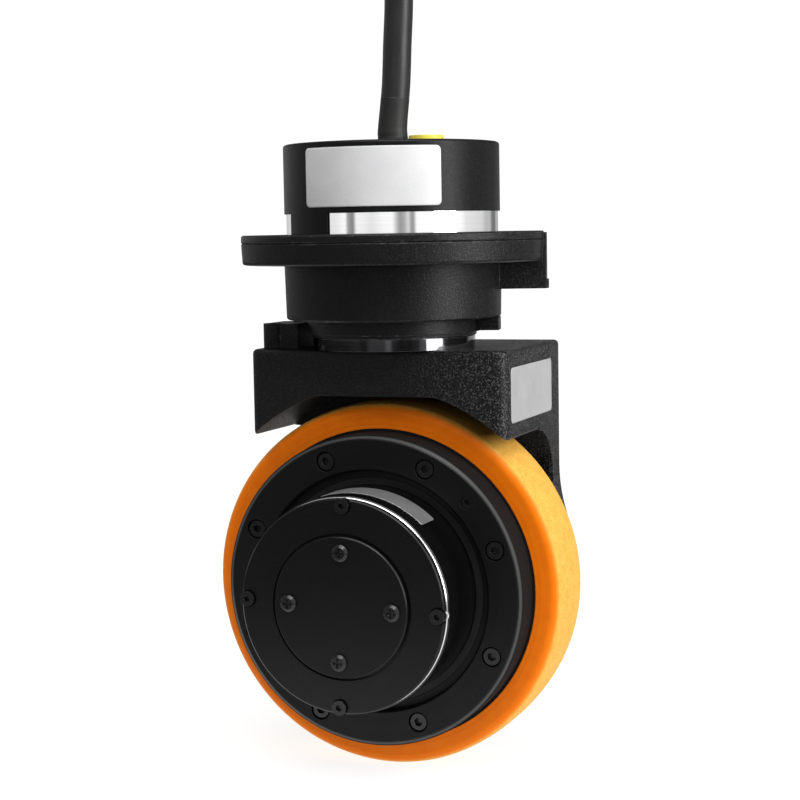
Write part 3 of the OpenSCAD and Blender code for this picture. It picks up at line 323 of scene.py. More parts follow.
sleeve_finish = soft_plastic("strain_relief", (0.008, 0.008, 0.008), (0.014, 0.014, 0.014), 900.0, 0.00003,
                             (0.45, 0.60))
dress(sleeve_finish, sleeve)
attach(sleeve, "head")


def turned_rings(profile, radius_scale, start, axis, side, columns):
    """A profile turned about an axis: point = start + along axis + radius scale (cos a side + sin a other).
    The profile lists (along, radius); radius_scale is a function of the angle, such as for flutes."""
    other = np.cross(axis, side)
    angle = np.linspace(0, 2 * np.pi, columns, endpoint=False)
    reach = profile[:, 1, None] * radius_scale(profile[:, 0, None], angle[None])
    return (start + profile[:, 0, None, None] * axis
            + reach[..., None] * (np.cos(angle)[None, :, None] * side + np.sin(angle)[None, :, None] * other))


# The gland's nut: a low round nut of black polyamide with flutes for the fingers round its edge.
nut_middle = np.array((0.0006, 0.001, 0.039))
nut_flutes = 18
flute_depth = 0.035
nut_profile = 0.001 * np.array([[0, 0], [0, 7.9], [4.45, 7.9], [4.5, 10.0], [4.9, 10.4], [5.9, 10.4], [6.4, 10.0],
                                [6.7, 9.0], [6.8, 8.0], [6.8, 0]])


def nut_flute(along, angle):
    """Scallops that cut the nut's edge by a few hundredths of its radius, above the cap only."""
    return 1 - flute_depth * (along > 0.0046) * (along < 0.0067) * np.cos(nut_flutes * angle / 2) ** 8


nut = solid_of_rings("gland_nut", turned_rings(nut_profile, nut_flute, nut_middle, upward, aside, 180))
dress(sleeve_finish, nut)
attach(nut, "head")
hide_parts("cable_gland")

# ------------------------------------------------------------------------------------------------------------
# Cable tie: a moulded nylon strap drawn tight round both turns of the coil, with its toothed head on top and
# the cut tail beside it. It bites a little into the soft jacket, so that nothing of it reaches the floor.
tie_turn = np.radians(180 - 60)
tie_width = 0.0036
tie_thick = 0.0009
tie_outward = np.cos(tie_turn) * away + np.sin(tie_turn) * aside
tie_along = np.cross(upward, tie_outward)
tie_middle = coil_centre * away + (coil_outer + coil_inner) / 2 * tie_outward + coil_height * upward
strand_gap = (coil_outer - coil_inner) / 2
tie_angle = np.linspace(0, 2 * np.pi, 96, endpoint=False) + 0.01


def strap_loop(radius):
    """Outline round two strands: half circles about both middles, joined by straight runs."""
    out = strand_gap * np.sign(np.cos(tie_angle)) + radius * np.cos(tie_angle)
    rise = np.maximum(radius * np.sin(tie_angle), -cable_radius)
    return tie_middle + out[:, None] * tie_outward + rise[:, None] * upward


inner_loop, outer_loop = strap_loop(cable_radius - 0.0001), strap_loop(cable_radius + tie_thick)
strap_edge = np.array([(0, -0.5), (0, 0.5), (0.7, 0.5), (1, 0.42), (1, -0.42), (0.7, -0.5)])
strap_rings = (inner_loop[:, None] + strap_edge[None, :, :1] * (outer_loop - inner_loop)[:, None]
               + strap_edge[None, :, 1:] * tie_width * tie_along)
strap = solid_of_rings("tie_strap", strap_rings, "loop")


def rounded_block(name, middle, axes, halves, squareness):
    """Superellipsoid: each axis is its half size times the signed powers of the cosines and sines of two
    angles, so that a low power gives a block with soft edges."""
    power = lambda value: np.sign(value) * np.abs(value) ** squareness
    tall = np.linspace(-np.pi / 2, np.pi / 2, 17)[:, None]
    round_angle = np.linspace(0, 2 * np.pi, 32, endpoint=False)[None]
    reach = np.stack([power(np.cos(tall)) * power(np.cos(round_angle)),
                      power(np.cos(tall)) * power(np.sin(round_angle)),
                      power(np.sin(tall)) * np.ones_like(round_angle)], -1)
    return solid_of_rings(name, middle + (reach * np.array(halves)) @ np.array(axes))


tie_top = tie_middle + (cable_radius + tie_thick) * upward
tie_axes = (tie_outward, tie_along, upward)
tie_head = rounded_block("tie_head", tie_top + 0.0012 * upward, tie_axes, (0.0028, 0.0026, 0.0024), 0.35)
tie_tail = rounded_block("tie_tail", tie_top + 0.0022 * upward - 0.006 * tie_outward, tie_axes,
                         (0.0050, 0.0017, 0.0006), 0.3)
tie_finish = soft_plastic("tie_nylon", (0.012, 0.012, 0.012), (0.022, 0.022, 0.022), 700.0, 0.00002,
                          (0.30, 0.42), 0.5)
for tie_piece in (strap, tie_head, tie_tail):
    dress(tie_finish, tie_piece)
    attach(tie_piece, "head")

# ------------------------------------------------------------------------------------------------------------
# Connector: a round metal plug on the cable's far end. Nickel-plated body with a clamping nut behind, a
# knurled coupling ring, and an open shell in front with the contacts in a black insert.
plug_axis = -aside
plug_start = connector_away * away + connector_half * aside + connector_height * upward
knurl_count = 36
knurl_depth = 0.028
ring_from, ring_to = 0.026, 0.040
shell_profile = 0.001 * np.array([
    [0, 0], [0, 9.4], [0.3, 9.9], [1.0, 10.0], [9.0, 10.0], [9.8, 9.4], [10.2, 9.0], [10.8, 9.7], [11.6, 10.0],
    [25.2, 10.0], [25.9, 9.7], [26.0, 11.0], [26.5, 11.45], [28.0, 11.5], [32.8, 11.5], [33.2, 11.1],
    [33.6, 11.5], [38.2, 11.5], [39.5, 11.4], [40.0, 10.9], [40.1, 10.0], [40.6, 9.8], [44.0, 9.8],
    [44.4, 10.0], [51.6, 10.0], [52.0, 9.7], [52.0, 9.0], [51.8, 8.1], [44.0, 8.0], [44.0, 0]])


def knurl(along, angle):
    """Rounded ridges along the coupling ring, and six flats on the clamping nut behind it."""
    on_ring = (along > ring_from + 0.0005) * (along < ring_to - 0.0005)
    on_nut = (along > 0.0006) * (along < 0.0095)
    ridges = knurl_depth * np.abs(np.sin(knurl_count * angle / 2)) ** 0.7
    sector = (angle + np.pi / 6) % (np.pi / 3) - np.pi / 6
    flats = 1 - np.minimum(0.93 / np.cos(sector), 1)
    return 1 - on_ring * (knurl_depth - ridges) - on_nut * flats


shell = solid_of_rings("connector_shell", turned_rings(shell_profile, knurl, plug_start, plug_axis, upward, 288))


def round_to(along, angle):
    return np.ones(np.broadcast(along, angle).shape)


insert_profile = 0.001 * np.array([[43.9, 0], [43.9, 7.95], [47.6, 7.95], [48.0, 7.6], [48.0, 0]])
insert = solid_of_rings("connector_insert",
                        turned_rings(insert_profile, round_to, plug_start, plug_axis, upward, 48))
pin_profile = 0.001 * np.array([[47.5, 0], [47.5, 0.5], [50.6, 0.5], [51.0, 0.25], [51.0, 0]])
pin_angles = np.radians(np.arange(0, 360, 45))
pin_places = [np.zeros(3)] + [0.0052 * (np.cos(a) * upward + np.sin(a) * away) for a in pin_angles]
pins = [solid_of_rings(f"connector_pin_{index}", turned_rings(
    pin_profile, round_to, plug_start + place, plug_axis, upward, 16)) for index, place in enumerate(pin_places)]


def plated(name, dark, light, rough, scratch=260.0, edge=0.0002):
    """Bright plating: clouds and fine crossing scratches in the roughness, and a shade darker in the clouds."""
    made, wire, place = begin_material(name)
    cloud = noise(wire, place, 120.0, 3.0, 0.6)
    lines = noise(wire, vector_times(wire, place, (1.0, 9.0, 1.0)), scratch, 4.0, 0.7)
    part = ramp(wire, 0.5 * cloud + 0.5 * lines, 0.35, 0.65)
    end_material(wire, {"Base Color": tint(wire, part, dark, light), "Metallic": 1.0,
                        "Roughness": ramp(wire, part, 0.0, 1.0, *rough),
                        "Normal": bumped(wire, lines, 0.000004, rounded_edges(wire, edge))})
    return made


dress(plated("nickel", (0.46, 0.45, 0.43), (0.60, 0.59, 0.57), (0.34, 0.20)), shell)
dress(plated("gilt_pins", (0.62, 0.42, 0.14), (0.78, 0.57, 0.24), (0.30, 0.18)), *pins)
dress(soft_plastic("insert", (0.010, 0.010, 0.010), (0.016, 0.016, 0.016), 900.0, 0.00001, (0.35, 0.45)), insert)
for plug_piece in (shell, insert, *pins):
    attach(plug_piece, "head")
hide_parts("cable_connector")

# ------------------------------------------------------------------------------------------------------------
# Studio: a small round white table top under the unit, whose rim fades into the white room. The room is one
# ring of soft screens with darker gaps between them, brighter on the right, and soft boxes light the unit.
floor_height = -0.262
floor_reach = 0.62
floor_fade_from, floor_fade_to = 0.30, 0.56
floor_middle = 0.12 * away
floor_angle = np.linspace(0, 2 * np.pi, 96, endpoint=False)
floor_rows = [np.stack([floor_middle[0] + reach * np.cos(floor_angle), floor_middle[1] + reach * np.sin(floor_angle),
                        np.full(96, floor_height - drop)], 1)
              for reach, drop in ((0, 0), (floor_reach / 2, 0), (floor_reach, 0), (floor_reach, 0.01), (0, 0.01))]
floor = solid_of_rings("floor", np.array(floor_rows))
floor_finish, wire, place = begin_material("floor")
floor_shade = ramp(wire, noise(wire, place, 3.0), 0.3, 0.7, 0.24, 0.28)
floor_white = wire.node("ShaderNodeCombineColor", {}, {0: floor_shade, 1: floor_shade, 2: floor_shade})
from_middle = wire.node("ShaderNodeVectorMath", {"operation": "DISTANCE"}, {
    0: place, 1: (floor_middle[0], floor_middle[1], floor_height)}, "Value")
end_material(wire, {"Base Color": floor_white, "Roughness": 0.9, "Specular IOR Level": 0.1,
                    "Alpha": ramp(wire, from_middle, floor_fade_from, floor_fade_to, 1.0, 0.0),
                    "Emission Color": (1, 1, 1, 1), "Emission Strength": 0.85})
dress(floor_finish, floor)

# Brightness of the screens by their bearing in degrees from the camera, to its right
screens = [(-180, 0.50), (-140, 0.70), (-74, 0.76), (-60, 0.86), (-54, 0.98), (-51, 0.95), (-49, 0.38), (-44, 0.24),
           (-42, 0.26), (-39, 0.92), (-32, 0.90), (-22, 0.80), (-10, 0.97), (0, 1.00), (4, 0.60), (8, 0.32),
           (13, 0.42), (17, 0.72), (20, 0.34), (23, 0.32), (26, 1.04), (80, 1.00), (86, 0.80), (113, 0.68),
           (121, 0.50), (131, 0.50), (138, 0.18), (148, 0.18), (152, 0.42), (180, 0.50)]
# The same for the gaps just under the screens, which the output flange mirrors
low_screens = [(-180, 0.01), (-66, 0.01), (-60, 0.03), (-40, 0.03), (-34, 0.10), (-14, 0.10), (-11, 0.30),
               (-6, 0.30), (-3, 0.01), (34, 0.01), (38, 0.22), (72, 0.22), (80, 0.02), (125, 0.02), (135, 0.6),
               (180, 0.6)]
world = bpy.data.worlds.new("studio")
world.use_nodes = True
world.node_tree.nodes.clear()
bpy.context.scene.world = world
wire = Wire(world.node_tree)
bearing_from = wire.node("ShaderNodeTexCoord", {}, {}, "Generated")


def dot(wire, place, axis):
    return wire.node("ShaderNodeVectorMath", {"operation": "DOT_PRODUCT"}, {0: place, 1: tuple(axis)}, "Value")


to_right = dot(wire, bearing_from, level_right)
to_camera = dot(wire, bearing_from, level_up.cross(level_right) * -1)
bearing = wire.maths("ARCTAN2", to_right, to_camera)
round_room = ramp(wire, bearing, -np.pi, np.pi)
screen_light = wire.node("ShaderNodeValToRGB", {"stops": [((turn + 180) / 360, light) for turn, light in screens]},
                         {"Fac": round_room})
low_light = wire.node("ShaderNodeValToRGB", {"stops": [((turn + 180) / 360, light) for turn, light in low_screens]},
                      {"Fac": round_room})
rise = dot(wire, bearing_from, upward)
light_here = tint(wire, ramp(wire, rise, -0.045, -0.030), low_light, screen_light)
# The screens are brightest at the unit's height, dimmer above it, and there is little light from below them
height_part = ramp(wire, rise, 0.10, 0.22, 1.0, 0.42) * ramp(wire, rise, -0.13, -0.10, 0.04, 1.0)
room_light = wire.node("ShaderNodeMix", {"data_type": "RGBA", "blend_type": "MULTIPLY"},
                       {0: 1.0, 6: light_here, 7: wire.node("ShaderNodeCombineColor", {}, {
                           0: height_part, 1: height_part, 2: height_part})}, 2)
room = wire.node("ShaderNodeBackground", {}, {"Color": room_light, "Strength": 1.0})
backdrop = wire.node("ShaderNodeBackground", {}, {"Color": (1, 1, 1, 1), "Strength": 1.05})
seen = wire.node("ShaderNodeLightPath", {}, {}, "Is Camera Ray")
both = wire.node("ShaderNodeMixShader", {}, {0: seen, 1: room, 2: backdrop})
wire.node("ShaderNodeOutputWorld", {}, {"Surface": both}, None)
bpy.context.scene.view_settings.view_transform = "Standard"


def soft_box(name, turn, height, distance, size, power):
    """Rectangular light on a circle round the unit, turned in degrees from the camera's side, aimed at it."""
    data = bpy.data.lights.new(name, "AREA")
    data.shape = "RECTANGLE"
    data.size, data.size_y = size
    data.energy = power
    lamp = bpy.data.objects.new(name, data)
    angle = camera_turn + np.radians(turn)
    spot = Vector((distance * np.sin(angle), -distance * np.cos(angle), height))
    aim = (spot - Vector((0, 0, -0.1))).to_track_quat("Z", "Y").to_matrix().to_4x4()
    lamp.matrix_world = Matrix.Translation(spot) @ aim
    lamp.visible_camera = False
    bpy.context.scene.collection.objects.link(lamp)


soft_box("box_right", 58, 0.35, 1.4, (0.7, 1.2), 20)
soft_box("box_above", -10, 1.5, 0.6, (1.4, 1.2), 18)
soft_box("box_front", 15, 1.1, 1.0, (0.8, 0.6), 8)

# ------------------------------------------------------------------------------------------------------------
# Gearbox: a cast aluminium housing with its flange, sensor box and neck, and the thin flange cover screwed on
# top. Black powder coat with an orange-peel grain, rubbed and chipped to bright metal at the flange's edge.


def powder_coat(name, dark, light, grain, depth, rough, chips=0.0, specular=0.35, edge=0.0006, painted_glints=0.0):
    """Powder coat: a pebbled grain in height and colour, painted highlights as brighter specks on the pebbles' tops,
    and worn edges. Chips is the share of the sharp edges that are rubbed through to metal, and with any chips every
    sharp edge also gets a faint painted highlight; the last argument tells how bright the painted highlights on the
    pebbles' tops are, stronger on the right and on faces turned down."""
    made, wire, place = begin_material(name)
    pebbles = noise(wire, place, grain, 2.0, 0.55)
    broad = noise(wire, place, 26.0, 3.0, 0.55)
    rounded = rounded_edges(wire, edge)
    part = ramp(wire, 0.7 * pebbles + 0.3 * broad, 0.38, 0.66)
    colour = tint(wire, part, dark, light)
    # Painted highlights: the pebbles' tops are tinted grey, more towards the right (+X) and on faces turned down, as
    # glints of light on them.
    if painted_glints:
        across = wire.node("ShaderNodeSeparateXYZ", {}, {0: place}, "X")
        below = wire.node("ShaderNodeSeparateXYZ", {}, {
            0: wire.node("ShaderNodeNewGeometry", {}, {}, "True Normal")}, "Z")
        glint_share = wire.maths("MAXIMUM", ramp(wire, across, 0.012, 0.050, 0.1 * painted_glints, painted_glints),
                           ramp(wire, below, -0.5, -0.1, painted_glints, 0.0))
        colour = tint(wire, ramp(wire, pebbles, 0.52, 0.64) * glint_share, colour, (0.20, 0.20, 0.20))
    if chips:
        plain = wire.node("ShaderNodeNewGeometry", {}, {}, "True Normal")
        along_both = wire.node("ShaderNodeVectorMath", {"operation": "DOT_PRODUCT"}, {0: rounded, 1: plain},
                               "Value")
        sharp = ramp(wire, 1 - along_both, 0.04, 0.25)
        chipped = ramp(wire, noise(wire, place, 210.0, 4.0, 0.7), 0.62 - 0.2 * chips, 0.70 - 0.2 * chips)
        colour = tint(wire, sharp * chipped, colour, (0.30, 0.30, 0.31))
        # Painted highlight: every sharp edge is lightened a quarter of the way to dark grey, as the thin line of
        # light along it.
        colour = tint(wire, 0.25 * sharp, colour, (0.10, 0.10, 0.10))
    end_material(wire, {"Base Color": colour, "Roughness": ramp(wire, part, 0.0, 1.0, *rough),
                        "Specular IOR Level": specular, "Normal": bumped(wire, pebbles, depth, rounded)})
    return made


# Its pebbles carry faint painted glints, and its sharp edges a painted highlight besides the chips.
casting_finish = powder_coat("casting_coat", (0.002, 0.002, 0.0021), (0.0070, 0.0070, 0.0072), 1400.0, 0.00015,
                             (0.46, 0.32), 0.5, 0.25, painted_glints=0.12)
dress(casting_finish, "gearbox_housing", "flange_cover", "end_stop")

# Socket screws of the head and of the wheel: blackened steel, rubbed through in places on the heads' rims, and every
# rim lightened a little as a painted highlight.
screw_finish = powder_coat("black_oxide", (0.002, 0.002, 0.002), (0.006, 0.006, 0.006), 1600.0, 0.00001,
                           (0.34, 0.22), 0.15, 0.5, 0.0002)
dress(screw_finish, "cover_screws", "ring_screws", "cap_screws", "fork_screws", "stop_lug_screws",
      "spindle_screws", "post_screws", "hub_screws", "oil_plug", "rim_screws", "end_plate_screws")

# Homing sensor: a threaded steel barrel pressed up into the sensor box, with fine turns of thread.
sensor_finish, wire, place = begin_material("sensor_barrel")
thread = wire.node("ShaderNodeTexWave", {"bands_direction": "Z"}, {
    "Vector": place, "Scale": 480.0, "Distortion": 0.0}, "Fac")
stain = noise(wire, place, 300.0, 3.0, 0.6)
end_material(wire, {"Base Color": tint(wire, stain, (0.30, 0.30, 0.30), (0.42, 0.42, 0.43)), "Metallic": 1.0,
                    "Roughness": ramp(wire, stain, 0.3, 0.7, 0.25, 0.4),
                    "Normal": bumped(wire, thread, 0.0001, rounded_edges(wire, 0.0002))})
dress(sensor_finish, "homing_sensor")

# ------------------------------------------------------------------------------------------------------------
# Bare metal of the head: the turned aluminium motor ring between flange and cap, and under it the gears,
# bearings and shaft of the steering reducer. Turned, ground or hobbed, and left uncoated.
axle_height = -0.172


def turning_place(wire, place, about):
    """Coordinates of a lathe: distance from the axis and place along it, both stretched into fine lines, with
    a trace of the plain coordinates so that the lines wander round the piece."""
    split = [wire.node("ShaderNodeSeparateXYZ", {}, {0: place}, axis) for axis in "XYZ"]
    first, along = (split[1], split[2]) if about == "Z" else (split[2] - axle_height, split[1])
    reach = (split[0] ** 2 + first ** 2) ** 0.5
    return wire.node("ShaderNodeCombineXYZ", {}, {0: reach * 900.0 + split[0] * 2.0, 1: along * 900.0,
                                                  2: first * 2.0})


def turned_metal(name, about, dark, light, rough, depth=0.000012, edge=0.0003, lines=1.0):
    """Turned metal: lines round the axis in shade, roughness and height, over soft clouds of handling."""
    made, wire, place = begin_material(name)
    line = noise(wire, turning_place(wire, place, about), lines, 4.0, 0.65)
    cloud = noise(wire, place, 60.0, 3.0, 0.6)
    part = ramp(wire, 0.7 * line + 0.3 * cloud, 0.34, 0.66)
    end_material(wire, {"Base Color": tint(wire, part, dark, light), "Metallic": 1.0,
                        "Roughness": ramp(wire, part, 0.0, 1.0, *rough),
                        "Normal": bumped(wire, line, depth, rounded_edges(wire, edge))})
    return made


ring_finish = turned_metal("turned_ring", "Z", (0.94, 0.94, 0.95), (0.99, 0.99, 1.0), (0.08, 0.05), 0.000002)
dress(ring_finish, "motor_ring")
gear_finish = turned_metal("hobbed_steel", "Z", (0.30, 0.30, 0.31), (0.46, 0.46, 0.47), (0.38, 0.24))
dress(gear_finish, "steer_ring_gear", "steer_planet_1", "steer_planet_2", "steer_planet_3", "steer_rotor")
race_finish = turned_metal("ground_race", "Z", (0.52, 0.52, 0.53), (0.62, 0.62, 0.63), (0.18, 0.10))
dress(race_finish, "steer_bearing_outer", "steer_bearing_inner", "steer_shaft_bearings")
ball_finish = plated("polished_balls", (0.60, 0.60, 0.61), (0.70, 0.70, 0.71), (0.12, 0.05))
dress(ball_finish, "steer_bearing_balls", "wheel_bearing_balls")

# ------------------------------------------------------------------------------------------------------------
# Inside of the steering motor: a stack of laminations wound with varnished copper, a cast end shield over it,
# and on top the driver board, green lacquer over copper with rows of soldered parts.


def winding(name, about):
    """Varnished copper: strands that wind round each coil as a wave over the lathe's bearing, and patches of
    darker resin between them."""
    made, wire, place = begin_material(name)
    strands = wire.node("ShaderNodeTexWave", {"bands_direction": about}, {
        "Vector": place, "Scale": 420.0, "Distortion": 3.0, "Detail": 2.0}, "Fac")
    resin = ramp(wire, noise(wire, place, 240.0, 3.0, 0.6), 0.45, 0.6)
    copper = tint(wire, strands, (0.22, 0.06, 0.02), (0.50, 0.19, 0.07))
    end_material(wire, {"Base Color": tint(wire, 0.6 * resin, copper, (0.05, 0.02, 0.012)), "Metallic": 0.6,
                        "Roughness": ramp(wire, resin, 0.0, 1.0, 0.28, 0.5), "Coat Weight": 0.4,
                        "Normal": bumped(wire, strands, 0.00015, rounded_edges(wire, 0.0004))})
    return made


dress(winding("steering_winding", "Z"), "steer_stator")
dress(winding("drive_winding", "Y"), "drive_stator")
shield_finish = plated("cast_shield", (0.42, 0.42, 0.43), (0.55, 0.55, 0.56), (0.55, 0.38), 500.0)
dress(shield_finish, "end_shield")

board_finish, wire, place = begin_material("driver_board")
parts = wire.node("ShaderNodeTexBrick", {"offset": 0.35}, {
    "Vector": place, "Scale": 160.0, "Mortar Size": 0.045, "Mortar Smooth": 0.1}, "Fac")
pads = ramp(wire, noise(wire, place, 420.0, 0.0), 0.62, 0.66)
lacquer = tint(wire, parts, (0.010, 0.085, 0.032), (0.016, 0.14, 0.055))
end_material(wire, {"Base Color": tint(wire, pads, lacquer, (0.55, 0.55, 0.52)), "Metallic": pads,
                    "Roughness": ramp(wire, parts, 0.0, 1.0, 0.25, 0.4),
                    "Normal": bumped(wire, parts, 0.00012, rounded_edges(wire, 0.0002))})
dress(board_finish, "driver_board")

# ------------------------------------------------------------------------------------------------------------
# Cap of the steering motor: a turned aluminium can with a round shoulder, anodised and coated satin black.
# The yellow moulded disc beside the gland closes the setting hole.
# Its pebbles carry faint painted glints.
cap_finish = powder_coat("cap_coat", (0.002, 0.002, 0.0021), (0.006, 0.006, 0.0062), 1700.0, 0.00005,
                         (0.42, 0.32), 0.0, 0.18, painted_glints=0.06)
dress(cap_finish, "cap")
disc_finish = soft_plastic("yellow_disc", (0.78, 0.62, 0.060), (0.88, 0.74, 0.100), 800.0, 0.00002,
                           (0.32, 0.44))
dress(disc_finish, "cap_plug")

# ------------------------------------------------------------------------------------------------------------
# Rating plate of the steering motor: a white film with round corners, stuck on the cap's side and left bare.
# Each plate is a thin sheet that follows the surface under it.
cap_radius = 0.053
cap_plate_from = np.radians(-118.6)
cap_plate_to = np.radians(-43.2)
cap_plate_low, cap_plate_high = 0.0127, 0.0405
plate_corner = 0.0022
plate_thick = 0.00012


def plate_outline(width, height, corner, count=240):
    """Rectangle with quarter circles at its corners, as evenly spaced points round its middle."""
    swing = np.linspace(0, np.pi / 2, 13)
    corners = np.concatenate([
        np.stack([side * (width / 2 - corner) + corner * np.cos(swing + turn),
                  rise * (height / 2 - corner) + corner * np.sin(swing + turn)], 1)
        for side, rise, turn in ((1, 1, 0), (-1, 1, np.pi / 2), (-1, -1, np.pi), (1, -1, 1.5 * np.pi))])
    closed = np.concatenate([corners, corners[:1]])
    walked = np.concatenate([[0], np.cumsum(np.linalg.norm(np.diff(closed, axis=0), axis=1))])
    even = np.linspace(0, walked[-1], count, endpoint=False)
    return np.stack([np.interp(even, walked, closed[:, axis]) for axis in range(2)], 1)


def plate(name, width, height, corner, laid):
    """Thin closed sheet: rings that grow from the middle to the outline on its underside and shrink back on
    its face, laid on a surface by the function laid(across, up, height over the surface)."""
    outline = plate_outline(width, height, corner)
    grown = np.concatenate([np.linspace(0, 1, 22), [1.0], np.linspace(0.996, 0, 22)])
    lift = np.concatenate([np.full(22, -0.00005), [0.6 * plate_thick], np.full(22, plate_thick)])
    flat = grown[:, None, None] * outline[None]
    return solid_of_rings(name, laid(flat[..., 0], flat[..., 1], np.broadcast_to(lift[:, None], flat.shape[:2])))


def on_cap(across, up, over):
    """On the cap's round side: the bearing is the middle bearing plus across / radius."""
    angle = (cap_plate_from + cap_plate_to) / 2 + across / cap_radius
    return np.stack([(cap_radius + over) * np.cos(angle), (cap_radius + over) * np.sin(angle),
                     (cap_plate_low + cap_plate_high) / 2 + up], -1)


cap_plate = plate("cap_plate", cap_radius * (cap_plate_to - cap_plate_from), cap_plate_high - cap_plate_low,
                  plate_corner, on_cap)


def film(name, low, high, metallic, rough):
    """Bare label film: fine fibres and slight waves in its shade."""
    made, wire, place = begin_material(name)
    fibre = noise(wire, place, 1500.0, 3.0, 0.6)
    wave = noise(wire, place, 70.0, 2.0, 0.5)
    colour = tint(wire, ramp(wire, 0.5 * fibre + 0.5 * wave, 0.4, 0.6), low, high)
    end_material(wire, {"Base Color": colour, "Metallic": metallic,
                        "Roughness": ramp(wire, fibre, 0.3, 0.7, *rough),
                        "Normal": bumped(wire, wave, 0.00006, rounded_edges(wire, 0.0001))})
    return made


dress(film("white_film", (0.66, 0.66, 0.67), (0.72, 0.72, 0.72), 0.0, (0.30, 0.42)), cap_plate)
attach(cap_plate, "head")

# ------------------------------------------------------------------------------------------------------------
# Output flange of the steering gear: a ring of turned and blackened steel, bright where the lathe's lines
# catch the light. It shows as a narrow band between neck and fork.
output_finish = turned_metal("output_steel", "Z", (0.15, 0.15, 0.16), (0.24, 0.24, 0.25), (0.11, 0.06), 0.000001)
dress(output_finish, "output_flange")

# ------------------------------------------------------------------------------------------------------------
# Fork: one aluminium casting, a block with the wheel's arch and a single leg, with large soft roundings. Its
# powder coat is coarser than the gearbox's. The stop lug on its top is coated with it.
# Its pebbles carry the strongest painted glints, towards the right and underneath, and its sharp edges a painted
# highlight besides the chips.
fork_finish = powder_coat("fork_coat", (0.0022, 0.0022, 0.0023), (0.007, 0.007, 0.0072), 1150.0, 0.00022,
                          (0.48, 0.30), 0.25, 0.25, 0.0009, 0.36)
dress(fork_finish, "fork", "stop_lug")

# Plate on the fork's side: the same white film, painted grey for the shade on the fork's side, and left bare.
fork_side = 0.0664
side_plate_front, side_plate_back = -0.0205, 0.0480
side_plate_low, side_plate_high = -0.0910, -0.0645


def on_fork(across, up, over):
    """On the fork's flat side: across runs to the back and up rises."""
    return np.stack([fork_side + over, (side_plate_front + side_plate_back) / 2 + across,
                     (side_plate_low + side_plate_high) / 2 + up], -1)


side_plate = plate("side_plate", side_plate_back - side_plate_front, side_plate_high - side_plate_low,
                   plate_corner, on_fork)
dress(film("white_film_painted_shade", (0.34, 0.34, 0.345), (0.40, 0.40, 0.40), 0.0, (0.34, 0.46)), side_plate)
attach(side_plate, "steering")

# ------------------------------------------------------------------------------------------------------------
# Wheel's bearing: the spindle bolted into the leg, two ball bearings on its neck and the planet carrier on
# its end. Turned, ground and hobbed steel about the axle; the lip seals are black rubber.
spindle_finish = turned_metal("turned_steel", "Y", (0.36, 0.36, 0.37), (0.50, 0.50, 0.51), (0.34, 0.20))
dress(spindle_finish, "spindle", "planet_carrier")
axle_race_finish = turned_metal("ground_axle_race", "Y", (0.52, 0.52, 0.53), (0.62, 0.62, 0.63), (0.18, 0.10))
dress(axle_race_finish, "wheel_bearing_inners", "wheel_bearing_outers", "drive_shaft_bearings")
axle_gear_finish = turned_metal("hobbed_axle_steel", "Y", (0.30, 0.30, 0.31), (0.46, 0.46, 0.47), (0.38, 0.24))
dress(axle_gear_finish, "wheel_ring_gear", "drive_planet_1", "drive_planet_2", "drive_planet_3", "drive_rotor")
seal_finish = soft_plastic("seal_rubber", (0.005, 0.005, 0.005), (0.010, 0.010, 0.010), 1200.0, 0.00003,
                           (0.5, 0.62), 0.3)
dress(seal_finish, "shaft_seal", "rear_seal")

# ------------------------------------------------------------------------------------------------------------
# Hub and its cover: machined aluminium, black anodised, so that the tool's fine rings still show in the dark
# coat. Eight socket screws and the oil plug sit in counterbores round the cover.


def anodised(name, dark, light, rough, depth, specular=0.5, edge=0.0005, bare_or_glints=None, dull=None):
    """Black anodising over a turned face: fine rings in height and roughness, and a faint sheen of handling.
    The last two are functions of the wire and the place: how far the coat is gone or painted white as a glint, and
    how far that is smooth metal, and how much the coat is roughened."""
    made, wire, place = begin_material(name)
    line = noise(wire, turning_place(wire, place, "Y"), 1.6, 3.0, 0.6)
    cloud = noise(wire, place, 55.0, 4.0, 0.6)
    grain = noise(wire, place, 1900.0, 2.0, 0.5)
    part = ramp(wire, 0.45 * line + 0.25 * grain + 0.3 * cloud, 0.38, 0.62)
    bare_or_glint_share, metallic = bare_or_glints(wire, place) if bare_or_glints else (0.0, 0.0)
    worn = ramp(wire, part, 0.0, 1.0, *rough)
    end_material(wire, {"Base Color": tint(wire, bare_or_glint_share, tint(wire, part, dark, light), (0.86, 0.86, 0.87)),
                        "Metallic": metallic, "Roughness": worn + dull(wire, place) if dull else worn,
                        "Specular IOR Level": specular,
                        "Normal": bumped(wire, line + 0.5 * grain, depth, rounded_edges(wire, edge))})
    return made


def from_axle(wire, place):
    """Place across and above the wheel's axle, and the distance from it."""
    split = [wire.node("ShaderNodeSeparateXYZ", {}, {0: place}, axis) for axis in "XZ"]
    high = split[1] - axle_height
    return split[0], high, (split[0] ** 2 + high ** 2) ** 0.5


# The cover's turned edge is rubbed to a thin bright line, and its round side is matt
cover_edge = 0.0748


def rubbed_edge(wire, place):
    reach = from_axle(wire, place)[2]
    rubbed = 0.06 * ramp(wire, wire.maths("ABSOLUTE", reach - cover_edge), 0.0003, 0.0008, 1.0, 0.0)
    return rubbed, rubbed


def matt_side(wire, place):
    return ramp(wire, from_axle(wire, place)[2], 0.0754, 0.0758, 0.0, 0.5)


hub_finish = anodised("hub_anodised", (0.002, 0.002, 0.002), (0.005, 0.005, 0.005), (0.44, 0.34), 0.000012, 0.18,
                      bare_or_glints=rubbed_edge, dull=matt_side)
dress(hub_finish, "hub", "hub_cover")

